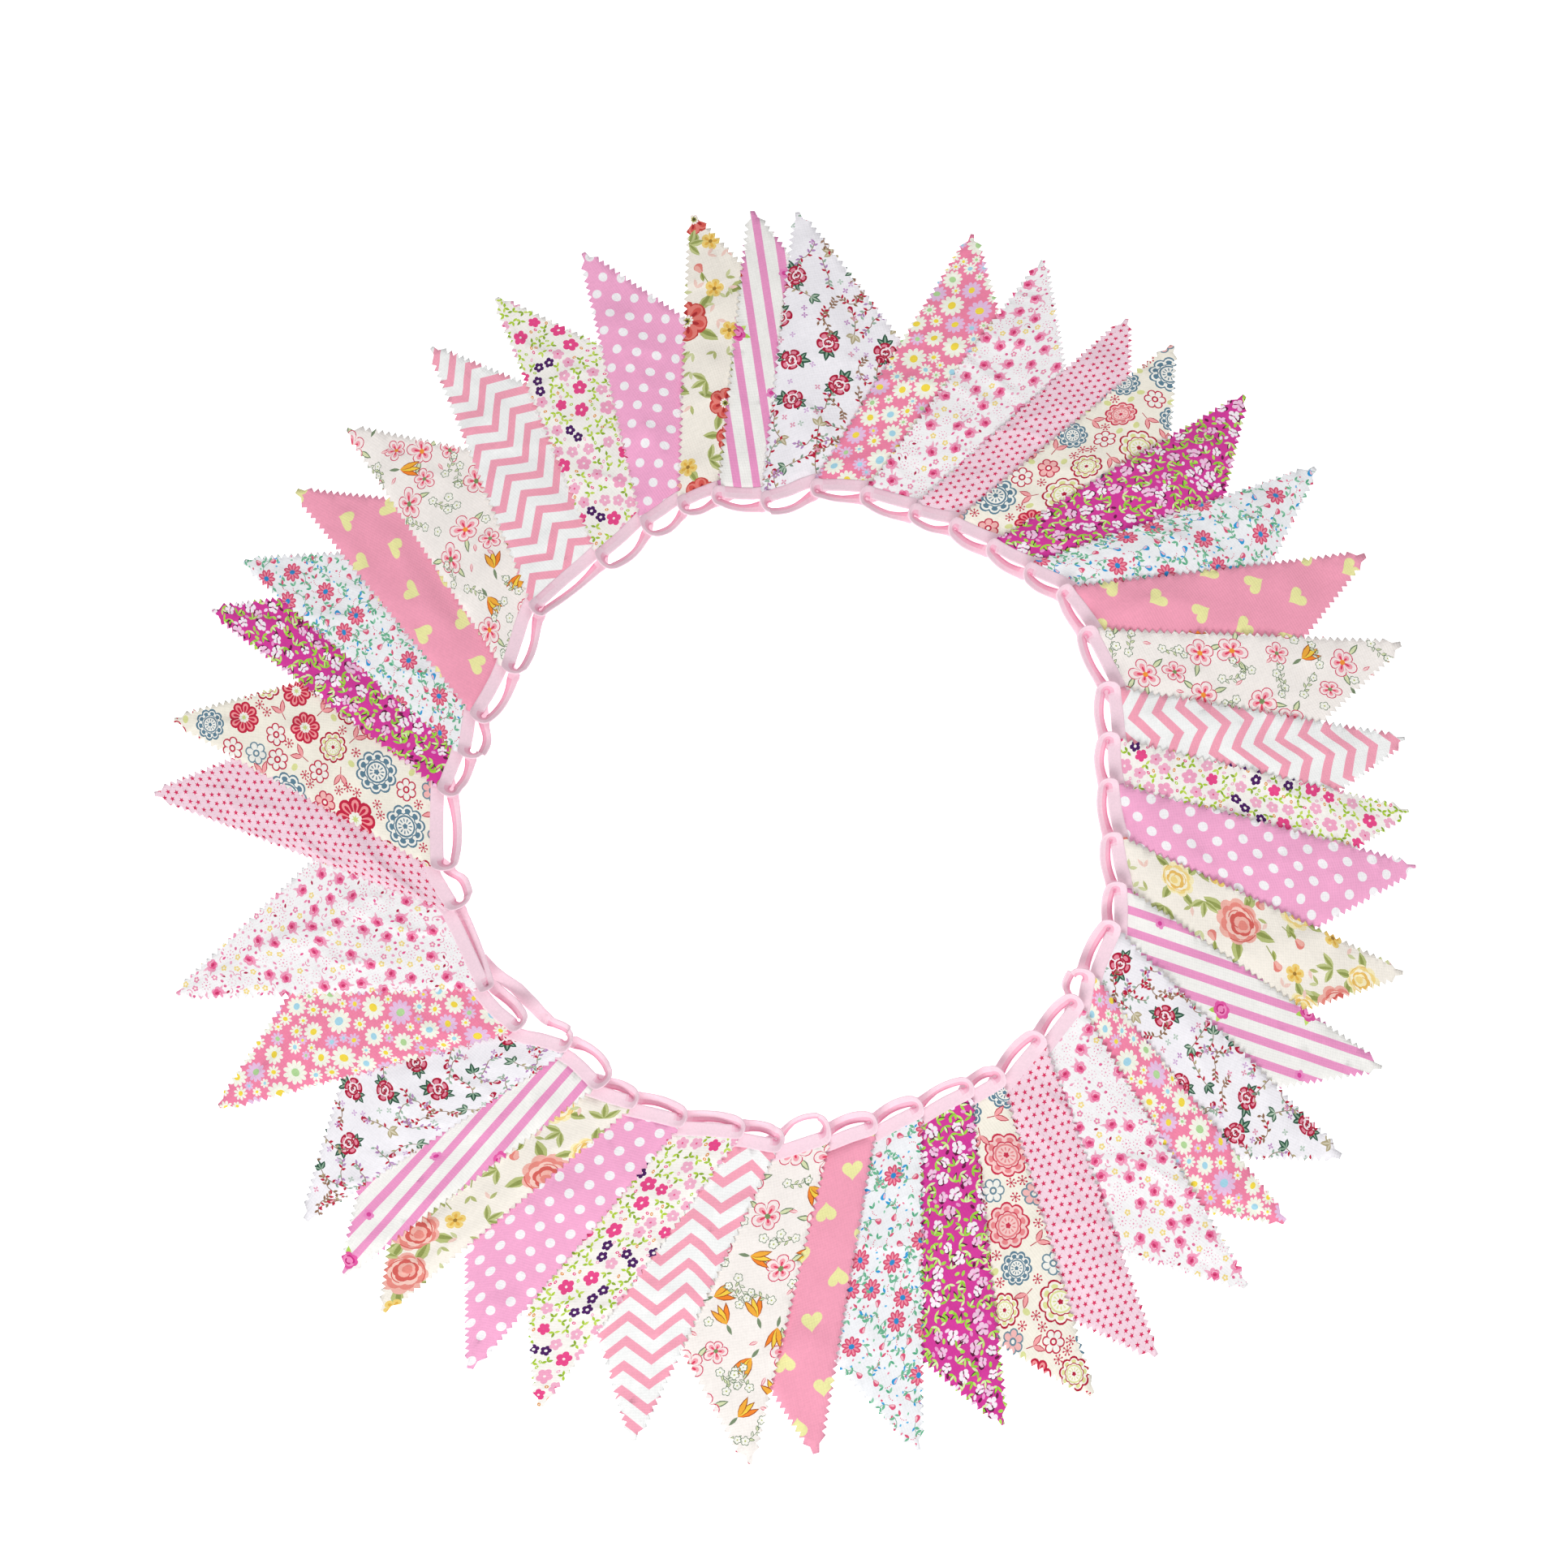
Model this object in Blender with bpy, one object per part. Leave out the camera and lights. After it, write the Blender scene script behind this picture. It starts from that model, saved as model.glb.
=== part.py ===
"""Fabric bunting of forty-two pinked flags on one bias tape, laid in a closed ring."""

import math
from collections import namedtuple

import bpy
from mathutils import Vector

MM = 0.001

# Cut sizes of the cloth
FLAG_WIDTH = 150.0
FLAG_HEIGHT = 190.0
TIP_WIDTH = 6.0
SIDE_LENGTH = math.hypot(FLAG_WIDTH / 2, FLAG_HEIGHT)
CLOTH = 1.05
TAPE_WIDTH = 9.0
TAPE_THICKNESS = 1.05
SEAM_GAP = 0.3
SEAM_LINE = TAPE_WIDTH / 2 + SEAM_GAP

# How the ring is laid
LAYER = 1.6
RING_RADIUS = 220.0
STEP_OUT = 1.8
STEP_GROWTH = 3.1
LEAD_INNER = 36.0
LEAD_OUTER = 10.0
LEAD_SPAN = 200.0
PHASE_SPREAD = 14.0

# Loops of tape between the flags
FOLD_LIFT = 1.7
FOLD_DROP = 0.2
FOLD_REACH = 27.0
STRAND_REST = 0.2
LANE = TAPE_WIDTH + 1.7
TURN_RADIUS = LANE / 2
END_TUCK = 2.0

# Mesh steps
FIELD_ROWS = 7
DROOP_LENGTH = 24.0
NOTCH_MARGIN = 3.0
STRIP_MAX = 0.7
STRIP_MIN = 0.12

Flag = namedtuple("Flag", "print corner_turn corner_out tip_turn tip_out bow")
# Turns are degrees clockwise from the top of the ring, distances are mm from its centre.
# The bow is how far the tape's loop stands clear of the flag's binding, in mm.
FLAGS = [
    Flag("large_rose", 340.3, 218.5, 350.6, 418.5, 8.0),
    Flag("rose_stripe", 347.0, 218.1, 356.3, 417.3, 6.5),
    Flag("briar", 355.1, 209.0, 0.7, 415.9, 9.0),
    Flag("daisy", 4.4, 217.7, 17.5, 419.1, 6.0),
    Flag("small_rose", 13.5, 218.5, 24.6, 418.7, 7.5),
    Flag("star", 22.6, 216.7, 34.3, 409.6, 6.5),
    Flag("folk_flower", 30.2, 220.2, 39.4, 412.9, 7.0),
    Flag("magenta_flower", 37.7, 222.0, 47.6, 419.7, 6.0),
    Flag("ditsy", 45.1, 225.9, 56.9, 425.3, 6.5),
    Flag("heart", 51.9, 233.7, 66.1, 423.4, 6.0),
    Flag("outlined_flower", 59.7, 230.6, 74.9, 422.8, 8.0),
    Flag("chevron", 69.9, 227.2, 83.6, 410.8, 9.5),
    Flag("purple_sprig", 78.3, 217.0, 90.3, 408.0, 7.5),
    Flag("polka_dot", 86.3, 211.1, 95.5, 412.8, 6.0),
    Flag("large_rose", 95.8, 213.5, 105.2, 413.4, 7.0),
    Flag("rose_stripe", 104.2, 221.0, 113.8, 418.0, 7.0),
    Flag("briar", 111.1, 224.8, 122.5, 419.1, 7.5),
    Flag("daisy", 120.0, 222.2, 130.1, 412.8, 10.5),
    Flag("small_rose", 125.1, 225.7, 136.6, 421.6, 8.0),
    Flag("star", 133.7, 221.9, 146.6, 418.8, 8.0),
    Flag("folk_flower", 143.0, 222.7, 153.1, 418.2, 8.5),
    Flag("magenta_flower", 148.4, 216.6, 161.1, 412.9, 7.0),
    Flag("ditsy", 157.6, 213.0, 168.9, 414.0, 8.0),
    Flag("heart", 166.0, 213.6, 177.8, 408.5, 8.0),
    Flag("outlined_flower", 174.0, 214.0, 183.7, 415.4, 12.5),
    Flag("chevron", 182.5, 218.7, 193.9, 412.5, 8.5),
    Flag("purple_sprig", 189.2, 212.5, 202.7, 411.8, 6.0),
    Flag("polka_dot", 199.4, 215.2, 209.6, 410.6, 7.0),
    Flag("large_rose", 208.2, 216.9, 218.8, 413.4, 6.0),
    Flag("rose_stripe", 214.7, 218.8, 223.7, 413.3, 11.0),
    Flag("briar", 223.0, 213.5, 229.6, 409.0, 9.5),
    Flag("daisy", 231.1, 228.2, 242.2, 417.1, 9.0),
    Flag("small_rose", 239.5, 230.8, 253.0, 418.7, 4.0),
    Flag("star", 253.3, 229.9, 271.2, 421.4, 12.0),
    Flag("folk_flower", 260.4, 234.5, 278.1, 414.9, 11.5),
    Flag("magenta_flower", 272.9, 229.0, 288.9, 411.4, 9.0),
    Flag("ditsy", 279.4, 218.8, 294.3, 404.8, 11.0),
    Flag("heart", 286.3, 217.1, 302.7, 398.9, 9.0),
    Flag("outlined_flower", 296.2, 209.5, 310.7, 398.9, 9.0),
    Flag("chevron", 308.1, 217.2, 322.1, 402.2, 7.0),
    Flag("purple_sprig", 322.8, 212.1, 330.1, 407.4, 11.5),
    Flag("polka_dot", 332.8, 216.0, 339.6, 412.0, 11.0),
]
COUNT = len(FLAGS)
PITCH = 360.0 / COUNT
FIRST = 30

Look = namedtuple("Look", "red green blue roughness")
LOOKS = {
    "large_rose": Look(0.96, 0.86, 0.76, 0.85),
    "rose_stripe": Look(0.93, 0.62, 0.76, 0.85),
    "briar": Look(0.95, 0.92, 0.95, 0.85),
    "daisy": Look(0.94, 0.50, 0.62, 0.85),
    "small_rose": Look(0.95, 0.88, 0.90, 0.85),
    "star": Look(0.92, 0.62, 0.70, 0.85),
    "folk_flower": Look(0.93, 0.83, 0.74, 0.85),
    "magenta_flower": Look(0.72, 0.10, 0.42, 0.85),
    "ditsy": Look(0.80, 0.82, 0.88, 0.85),
    "heart": Look(0.86, 0.33, 0.50, 0.85),
    "outlined_flower": Look(0.94, 0.84, 0.78, 0.85),
    "chevron": Look(0.94, 0.66, 0.72, 0.85),
    "purple_sprig": Look(0.92, 0.88, 0.84, 0.85),
    "polka_dot": Look(0.88, 0.36, 0.62, 0.85),
    "bias_tape": Look(0.94, 0.70, 0.79, 0.60),
}

Crease = namedtuple("Crease", "flag along rise spread edge")
# Main folds across the strips that show: the flag's number, how far down it lies as a share of
# the height, its rise and spread in mm, and the share of the rise that the pinked edge keeps.
CREASES = [
    Crease(1, 0.37, 2.6, 20.0, 0.6),
    Crease(3, 0.55, 1.6, 26.0, 0.9),
    Crease(4, 0.42, 2.2, 24.0, 0.5),
    Crease(5, 0.30, 2.0, 22.0, 0.8),
    Crease(6, 0.48, 2.4, 24.0, 0.5),
    Crease(7, 0.34, 2.2, 22.0, 0.9),
    Crease(8, 0.52, 2.6, 26.0, 0.5),
    Crease(9, 0.26, 3.0, 24.0, 0.6),
    Crease(10, 0.24, 3.2, 22.0, 0.5),
    Crease(11, 0.50, 1.8, 26.0, 0.8),
    Crease(12, 0.36, 1.6, 26.0, 0.4),
    Crease(14, 0.46, 2.0, 24.0, 0.7),
    Crease(15, 0.58, 2.6, 22.0, 0.6),
    Crease(17, 0.40, 1.6, 28.0, 0.8),
    Crease(19, 0.30, 1.8, 24.0, 0.5),
    Crease(20, 0.52, 1.6, 26.0, 0.9),
    Crease(22, 0.38, 2.2, 24.0, 0.6),
    Crease(24, 0.56, 1.6, 26.0, 0.8),
    Crease(26, 0.44, 1.8, 24.0, 0.5),
    Crease(28, 0.30, 1.8, 26.0, 0.9),
    Crease(29, 0.58, 2.0, 24.0, 0.6),
    Crease(31, 0.46, 1.6, 26.0, 0.7),
    Crease(33, 0.36, 2.2, 24.0, 0.5),
    Crease(35, 0.28, 2.4, 24.0, 0.8),
    Crease(36, 0.44, 2.4, 26.0, 0.6),
    Crease(38, 0.34, 2.0, 24.0, 0.8),
    Crease(40, 0.30, 2.8, 26.0, 0.6),
    Crease(41, 0.40, 2.2, 24.0, 0.8),
    Crease(42, 0.32, 2.4, 26.0, 0.5),
]


def ease(share):
    """Smooth step from 0 to 1 as share goes from 0 to 1."""
    share = min(max(share, 0.0), 1.0)
    return share * share * (3.0 - 2.0 * share)


def mix(start, end, share):
    return start + (end - start) * share


def ring_point(turn, out):
    """Plan point at a clockwise turn from the top and a distance from the ring's centre."""
    angle = math.radians(turn)
    return Vector((out * math.sin(angle), out * math.cos(angle)))


def clockwise(direction, degrees):
    angle = math.radians(degrees)
    return Vector((
        direction.x * math.cos(angle) + direction.y * math.sin(angle),
        direction.y * math.cos(angle) - direction.x * math.sin(angle),
    ))


CORNERS = [ring_point(flag.corner_turn, flag.corner_out) for flag in FLAGS]


def corner_line(spot):
    """Point of the smooth line through the flags' trailing corners, at a spot between two."""
    index = math.floor(spot)
    share = spot - index
    a, b, c, d = (CORNERS[(index + step) % COUNT] for step in (-1, 0, 1, 2))
    return 0.5 * (
        2.0 * b + (c - a) * share + (2.0 * a - 5.0 * b + 4.0 * c - d) * share ** 2
        + (3.0 * b - a - 3.0 * c + d) * share ** 3
    )


def line_inward(spot):
    """Direction at right angles to the corner line, towards the middle of the ring."""
    way = (corner_line(spot + 0.02) - corner_line(spot - 0.02)).normalized()
    return clockwise(way, 90.0)


def step_out(ahead):
    """How far outward of the corner line a binding has moved, so many flags ahead."""
    return STEP_OUT * ahead + STEP_GROWTH * ahead * ahead


def binding_line(index, ahead):
    """Middle of the tape along a flag's base, so many flags ahead of its trailing corner."""
    spot = index + ahead
    return corner_line(spot) - line_inward(spot) * step_out(ahead)


class Laid:
    """Where one flag lies in plan: the bent line of its base, and its tip."""

    def __init__(self, index):
        flag = FLAGS[index]
        self.corner = CORNERS[index]
        self.tip = ring_point(flag.tip_turn, flag.tip_out)
        self.scale = (self.tip - self.corner).length / SIDE_LENGTH
        self.length = FLAG_WIDTH * self.scale
        self.reach = self.find_reach(index)
        spots = (0.0, 0.5, 1.0, (1.0 + self.reach) / 2, self.reach)
        self.spots = spots
        self.knots = [binding_line(index, spot) for spot in spots]
        ways = [(b - a).normalized() for a, b in zip(self.knots, self.knots[1:])]
        bends = [ways[0]] + [(a + b).normalized() for a, b in zip(ways, ways[1:])] + [ways[-1]]
        self.inwards = [clockwise(way, 90.0) for way in bends]
        lengths = [0.0]
        for a, b in zip(self.knots, self.knots[1:]):
            lengths.append(lengths[-1] + (b - a).length)
        self.marks = [length / lengths[-1] for length in lengths]
        self.along = ways[-1]
        self.far = self.knots[-1]
        self.back = self.base(0.0, -SEAM_LINE)
        self.front = self.base(1.0, -SEAM_LINE)
        blunt = (self.front - self.back).normalized() * TIP_WIDTH / 2
        self.tip_back = self.tip - blunt
        self.tip_front = self.tip + blunt

    def find_reach(self, index):
        """How many flags ahead the base ends, from its cut length."""
        ahead = 0.0
        length = 0.0
        last = binding_line(index, 0.0)
        while length < self.length:
            ahead += 0.02
            point = binding_line(index, ahead)
            length += (point - last).length
            last = point
        return ahead

    def share_at(self, ahead):
        """Share along the base at the given number of flags ahead."""
        step = 0
        while step < len(self.spots) - 2 and ahead > self.spots[step + 1]:
            step += 1
        share = (ahead - self.spots[step]) / (self.spots[step + 1] - self.spots[step])
        return mix(self.marks[step], self.marks[step + 1], share)

    def base(self, across, inward):
        """Point along the bent base line, moved inward of the tape's middle by a distance."""
        step = 0
        while step < len(self.marks) - 2 and across > self.marks[step + 1]:
            step += 1
        share = (across - self.marks[step]) / (self.marks[step + 1] - self.marks[step])
        start = self.knots[step] + self.inwards[step] * inward
        end = self.knots[step + 1] + self.inwards[step + 1] * inward
        return start.lerp(end, share)

    def point(self, across, down):
        """Plan point of the cloth: across from the trailing to the leading edge, down to the tip."""
        return self.base(across, -SEAM_LINE).lerp(self.tip_back.lerp(self.tip_front, across), down)


LAID = [Laid(index) for index in range(COUNT)]


def lead(radius):
    """How far ahead of its trailing corner a flag's leading edge lies at a radius, in degrees."""
    share = min(max((radius - RING_RADIUS) / LEAD_SPAN, 0.0), 1.0)
    return mix(LEAD_INNER, LEAD_OUTER, (1.0 - math.cos(math.pi * share)) / 2)


def phase(point, near):
    """Turn of a plan point less the lead there, within half a turn of the value near."""
    turn = math.degrees(math.atan2(point.x, point.y)) - lead(point.length)
    return turn + 360.0 * round((near - turn) / 360.0)


def front_phase(index):
    """The furthest phase that any point of a flag reaches."""
    laid = LAID[index]
    near = FIRST_TURN + index * PITCH
    steps = [step / 8 for step in range(9)]
    edge = [laid.point(1.0, step) for step in steps]
    edge.append(laid.far + laid.along * (END_TUCK + LANE))
    return max(phase(point, near) for point in edge)


FIRST_TURN = -19.7
FRONTS = [front_phase(index) for index in range(COUNT)]


def slack(turn):
    """How many layers the ring runs ahead of an even one at a phase, smoothed round the ring."""
    total = 0.0
    weights = 0.0
    for index, front in enumerate(FRONTS):
        apart = (turn - front + 180.0) % 360.0 - 180.0
        weight = math.exp(-0.5 * (apart / PHASE_SPREAD) ** 2)
        total += weight * (index - front / PITCH)
        weights += weight
    return total / weights


SLACK_DROP = max(front / PITCH + slack(front) - index for index, front in enumerate(FRONTS))


def layer_height(index, point):
    """Height in mm of the underside of flag number index (counted from 0) over a plan point."""
    wrapped = index % COUNT
    front = FRONTS[wrapped]
    turn = phase(point, front - LEAD_INNER / 2)
    level = turn / PITCH + slack(turn) - SLACK_DROP
    return LAYER * (wrapped - level)


def next_edge_share(index, down):
    """Share across the cloth where the next flag's pinked edge crosses a row."""
    laid = LAID[index]
    following = LAID[(index + 1) % COUNT]
    way = following.tip_back - following.back
    low, high = 0.0, 1.0
    for _ in range(20):
        middle = (low + high) / 2
        offset = laid.point(middle, down) - following.back
        if way.x * offset.y - way.y * offset.x > 0.0:
            low = middle
        else:
            high = middle
    return low


def notch(index):
    """Shares down this flag's leading edge and the next one's trailing edge where they cross."""
    lower = LAID[index % COUNT]
    upper = LAID[(index + 1) % COUNT]
    span = lower.tip_front - lower.front
    way = upper.tip_back - upper.back
    cross = span.x * way.y - span.y * way.x
    offset = upper.back - lower.front
    share_lower = (offset.x * way.y - offset.y * way.x) / cross
    share_upper = (offset.x * span.y - offset.y * span.x) / cross
    return share_lower, share_upper


def notch_down(index):
    """How far down a flag its neighbours reach, as a share of the height."""
    return max(notch(index)[0], notch(index - 1)[1])


def crease_rise(index, down, edge_kept):
    """Rise of the main folds on the strip of a flag that shows, in mm."""
    rise = 0.0
    for crease in CREASES:
        if crease.flag == index + 1:
            apart = (down - crease.along) * FLAG_HEIGHT / crease.spread
            share = crease.edge if edge_kept else 1.0
            rise += crease.rise * share * math.exp(-apart * apart)
    return rise


def cloth_rows(index):
    """Rows of a flag: how far down each lies, and how much of the layer's height it keeps."""
    height = FLAG_HEIGHT * LAID[index].scale
    clear = notch_down(index) + NOTCH_MARGIN / height
    rows = [(clear * row / FIELD_ROWS, 1.0) for row in range(FIELD_ROWS + 1)]
    flat = min(clear + DROOP_LENGTH / height, mix(clear, 1.0, 0.6))
    return rows + [(flat, 0.0), (1.0, 0.0)]


def cloth_grid(index):
    """Underside points of a flag, row by row."""
    laid = LAID[index]
    grid = []
    for row, (down, kept) in enumerate(cloth_rows(index)):
        strip = min(max(next_edge_share(index, down), STRIP_MIN), STRIP_MAX)
        line = []
        columns = laid.marks if row == 0 else (0.0, strip / 2, strip, (1.0 + strip) / 2, 1.0)
        for column, across in enumerate(columns):
            plan = laid.point(across, down)
            rise = 0.0
            if column < 2 and 0 < row < FIELD_ROWS:
                rise = crease_rise(index, down, column == 0)
            if column == 0 and row == 0:
                rise = FOLD_LIFT
            height = layer_height(index, plan) * kept + rise
            line.append(Vector((plan.x, plan.y, height)))
        grid.append(line)
    return grid


def sheet_mesh(grid, thickness):
    """Closed sheet over a grid of underside points, with the same grid lifted for its top."""
    rows = len(grid)
    columns = len(grid[0])
    under = [point for line in grid for point in line]
    over = [point + Vector((0.0, 0.0, thickness)) for point in under]
    count = len(under)
    faces = []
    for row in range(rows - 1):
        for column in range(columns - 1):
            a = row * columns + column
            b = a + 1
            c = a + columns
            d = c + 1
            faces += [(a, d, b), (a, c, d)]
            faces += [(count + a, count + b, count + d), (count + a, count + d, count + c)]
    rim = [column for column in range(columns)]
    rim += [row * columns + columns - 1 for row in range(1, rows)]
    rim += [(rows - 1) * columns + column for column in range(columns - 2, -1, -1)]
    rim += [row * columns for row in range(rows - 2, 0, -1)]
    for here, there in zip(rim, rim[1:] + rim[:1]):
        faces.append((here, there, count + there, count + here))
    return under + over, faces


Station = namedtuple("Station", "centre side up")


def flat_station(plan, right, bottom, tilt=0.0):
    """Cross-section of tape at a plan point; a tilt raises its left edge by so many degrees."""
    angle = math.radians(tilt)
    rise = math.sin(angle) * TAPE_WIDTH / 2
    centre = Vector((plan.x, plan.y, bottom + rise + TAPE_THICKNESS / 2))
    side = Vector((right.x * math.cos(angle), right.y * math.cos(angle), -math.sin(angle)))
    up = Vector((right.x * math.sin(angle), right.y * math.sin(angle), math.cos(angle)))
    return Station(centre, side, up)


Strand = namedtuple("Strand", "spot bow height tilt")
# The strand of tape that leaves a loop: how far on towards the next loop, its share of the bow,
# its height as a share of the loop's own, and the tilt of its inner edge in degrees.
STRANDS = [
    Strand(1.00, 0.00, 0.00, 0.0),
    Strand(0.84, 0.60, 0.06, 6.0),
    Strand(0.66, 0.92, 0.18, 14.0),
    Strand(0.46, 1.00, 0.42, 16.0),
    Strand(0.24, 0.80, 0.90, 4.0),
    Strand(0.13, 0.50, 1.00, 0.0),
    Strand(0.00, 0.00, 1.00, 0.0),
]


def strand_stations(index):
    """Tape from the point where it dives under the next flag back to the loop of this one."""
    flag = FLAGS[index]
    laid = LAID[index]
    loop_height = layer_height(index, laid.corner) - FOLD_DROP
    stations = []
    for strand in STRANDS:
        spot = index + strand.spot
        inward = line_inward(spot) if strand.spot > 0.0 else laid.inwards[0]
        plan = corner_line(spot) + inward * flag.bow * strand.bow
        bottom = mix(STRAND_REST, loop_height, strand.height)
        stations.append(flat_station(plan, -inward, bottom, strand.tilt))
    return stations


def fold_stations(index):
    """The sharp turn where the tape folds back over itself at a flag's trailing corner."""
    laid = LAID[index]
    low = layer_height(index, laid.corner) - FOLD_DROP + TAPE_THICKNESS / 2
    high = layer_height(index, laid.corner) + FOLD_LIFT + TAPE_THICKNESS / 2
    radius = (high - low) / 2
    stations = []
    side = Vector((laid.inwards[0].x, laid.inwards[0].y, 0.0))
    along = Vector((-laid.inwards[0].y, laid.inwards[0].x, 0.0))
    corner = Vector((laid.corner.x, laid.corner.y, low + radius))
    for step in range(1, 4):
        angle = math.pi * step / 4
        outward = -along * math.sin(angle) + Vector((0.0, 0.0, -math.cos(angle)))
        stations.append(Station(corner + outward * radius, side, outward))
    return stations


BAND_STEPS = (0.0, 4.0, 10.0)


def band_stations(index):
    """Tape bound along the base of a flag, from its trailing to its leading corner."""
    laid = LAID[index]
    shares = [step / FLAG_WIDTH for step in BAND_STEPS]
    strip = laid.marks[2]
    shares += [laid.marks[1], strip, (strip + laid.marks[3]) / 2, laid.marks[3]]
    shares += [(laid.marks[3] + 1.0) / 2, 1.0]
    stations = []
    for share in shares:
        edges = [laid.base(share, -TAPE_WIDTH / 2), laid.base(share, TAPE_WIDTH / 2)]
        heights = [layer_height(index, edge) for edge in edges]
        lift = FOLD_LIFT * (1.0 - ease(share * laid.length / FOLD_REACH))
        plan = (edges[0] + edges[1]) / 2
        centre = Vector((plan.x, plan.y, sum(heights) / 2 + lift + TAPE_THICKNESS / 2))
        across = (edges[1] - edges[0]) / TAPE_WIDTH
        side = Vector((across.x, across.y, (heights[1] - heights[0]) / TAPE_WIDTH))
        stations.append(Station(centre, side, Vector((0.0, 0.0, 1.0))))
    return stations


def turn_stations(index):
    """Flat turn of the tape just past a flag's leading corner, back towards the ring's middle."""
    laid = LAID[index]
    inward = laid.inwards[-1]
    middle = laid.far + laid.along * END_TUCK + inward * TURN_RADIUS
    stations = []
    for step in range(5):
        angle = math.pi * step / 4
        outward = -inward * math.cos(angle) + laid.along * math.sin(angle)
        plan = middle + outward * TURN_RADIUS
        bottom = max(mix(layer_height(index, plan), STRAND_REST, step / 4), STRAND_REST)
        stations.append(flat_station(plan, -outward, bottom))
    return stations


HIDDEN_SHARES = (0.85, 0.6, 0.35, 0.12)


def hidden_stations(index):
    """Tape on the floor along the band of the flag before, back under to where it shows."""
    laid = LAID[index - 1]
    stations = []
    for share in HIDDEN_SHARES:
        across = laid.share_at(mix(2.0, laid.reach, share))
        plan = laid.base(across, LANE)
        outward = (laid.base(across, 0.0) - plan).normalized()
        stations.append(flat_station(plan, outward, STRAND_REST))
    return stations


LOOSE_SPOTS = (
    # spot, distance inward
    (2.36, 3.5),
    (2.16, 7.5),
    (1.95, 12.0),
    (1.70, 16.0),
    (1.30, 17.0),
    (0.95, 16.5),
    (0.60, 13.0),
)


def loose_end_stations(index):
    """The first end of the tape, which lies loose along the inner side past two more loops."""
    stations = []
    for spot, inward in LOOSE_SPOTS:
        way = line_inward(index + spot)
        stations.append(flat_station(corner_line(index + spot) + way * inward, -way, STRAND_REST))
    return stations + strand_stations(index)[-4:]


def tape_stations():
    """The whole tape from its first end to its last, flag after flag."""
    stations = []
    for step in range(COUNT):
        index = (FIRST + step) % COUNT
        if step == 0:
            stations += loose_end_stations(index)
        else:
            stations += hidden_stations(index) + strand_stations(index)
        stations += fold_stations(index) + band_stations(index)
        if step < COUNT - 1:
            stations += turn_stations(index)
    return stations


def tape_mesh():
    """One rectangular band of cloth swept through the stations, closed at its two ends."""
    points = []
    last = None
    for station in tape_stations():
        side = station.side * TAPE_WIDTH / 2
        up = station.up * TAPE_THICKNESS / 2
        if last is not None and side.dot(last[0]) + up.dot(last[1]) < 0.0:
            side, up = -side, -up
        last = (side, up)
        points += [
            station.centre - side - up,
            station.centre + side - up,
            station.centre + side + up,
            station.centre - side + up,
        ]
    faces = []
    rings = len(points) // 4
    for ring in range(rings - 1):
        start = 4 * ring
        for corner in range(4):
            after = (corner + 1) % 4
            faces.append((start + corner, start + 4 + corner, start + 4 + after, start + after))
    end = 4 * (rings - 1)
    faces.append((0, 1, 2, 3))
    faces.append((end + 3, end + 2, end + 1, end))
    return points, faces


def plan_middle():
    """Middle of the box round the tips, which becomes the origin."""
    tips = [laid.point(across, 1.0) for laid in LAID for across in (0.0, 1.0)]
    xs = [tip.x for tip in tips]
    ys = [tip.y for tip in tips]
    return Vector(((min(xs) + max(xs)) / 2, (min(ys) + max(ys)) / 2, 0.0))


def material(name):
    look = LOOKS[name]
    made = bpy.data.materials.get(name)
    if made is None:
        made = bpy.data.materials.new(name)
        made.use_nodes = True
        shader = made.node_tree.nodes["Principled BSDF"]
        shader.inputs["Base Color"].default_value = (look.red, look.green, look.blue, 1.0)
        shader.inputs["Roughness"].default_value = look.roughness
        shader.inputs["Metallic"].default_value = 0.0
    return made


def add_object(name, points, faces, look, middle):
    mesh = bpy.data.meshes.new(name)
    mesh.from_pydata([tuple((point - middle) * MM) for point in points], [], faces)
    mesh.materials.append(material(look))
    mesh.update()
    piece = bpy.data.objects.new(name, mesh)
    bpy.context.scene.collection.objects.link(piece)
    return piece


def main():
    for old in list(bpy.data.objects):
        bpy.data.objects.remove(old, do_unlink=True)
    middle = plan_middle()
    for index, flag in enumerate(FLAGS):
        points, faces = sheet_mesh(cloth_grid(index), CLOTH)
        add_object(f"flag_{index + 1:02d}_{flag.print}", points, faces, flag.print, middle)
    points, faces = tape_mesh()
    add_object("bias_tape", points, faces, "bias_tape", middle)


main()
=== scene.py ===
"""Looks of a cotton bunting: printed, pinked flags on one bias tape, laid in a ring on a table."""

import math
import random
from collections import namedtuple

import bpy
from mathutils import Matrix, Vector, noise
from mathutils.geometry import delaunay_2d_cdt


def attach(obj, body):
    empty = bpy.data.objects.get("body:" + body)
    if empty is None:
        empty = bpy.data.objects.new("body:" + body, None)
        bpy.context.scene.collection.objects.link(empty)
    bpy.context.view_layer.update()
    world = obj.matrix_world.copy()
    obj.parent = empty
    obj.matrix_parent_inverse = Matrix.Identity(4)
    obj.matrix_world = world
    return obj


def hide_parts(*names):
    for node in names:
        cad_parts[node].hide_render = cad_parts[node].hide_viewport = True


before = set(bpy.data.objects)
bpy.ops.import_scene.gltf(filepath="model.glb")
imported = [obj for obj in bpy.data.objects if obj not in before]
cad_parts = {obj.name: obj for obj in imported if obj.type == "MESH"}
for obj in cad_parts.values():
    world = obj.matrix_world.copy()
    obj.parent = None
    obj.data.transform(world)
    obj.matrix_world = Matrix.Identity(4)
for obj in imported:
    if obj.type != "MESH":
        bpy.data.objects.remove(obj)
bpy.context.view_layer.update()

MM = 0.001

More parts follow.
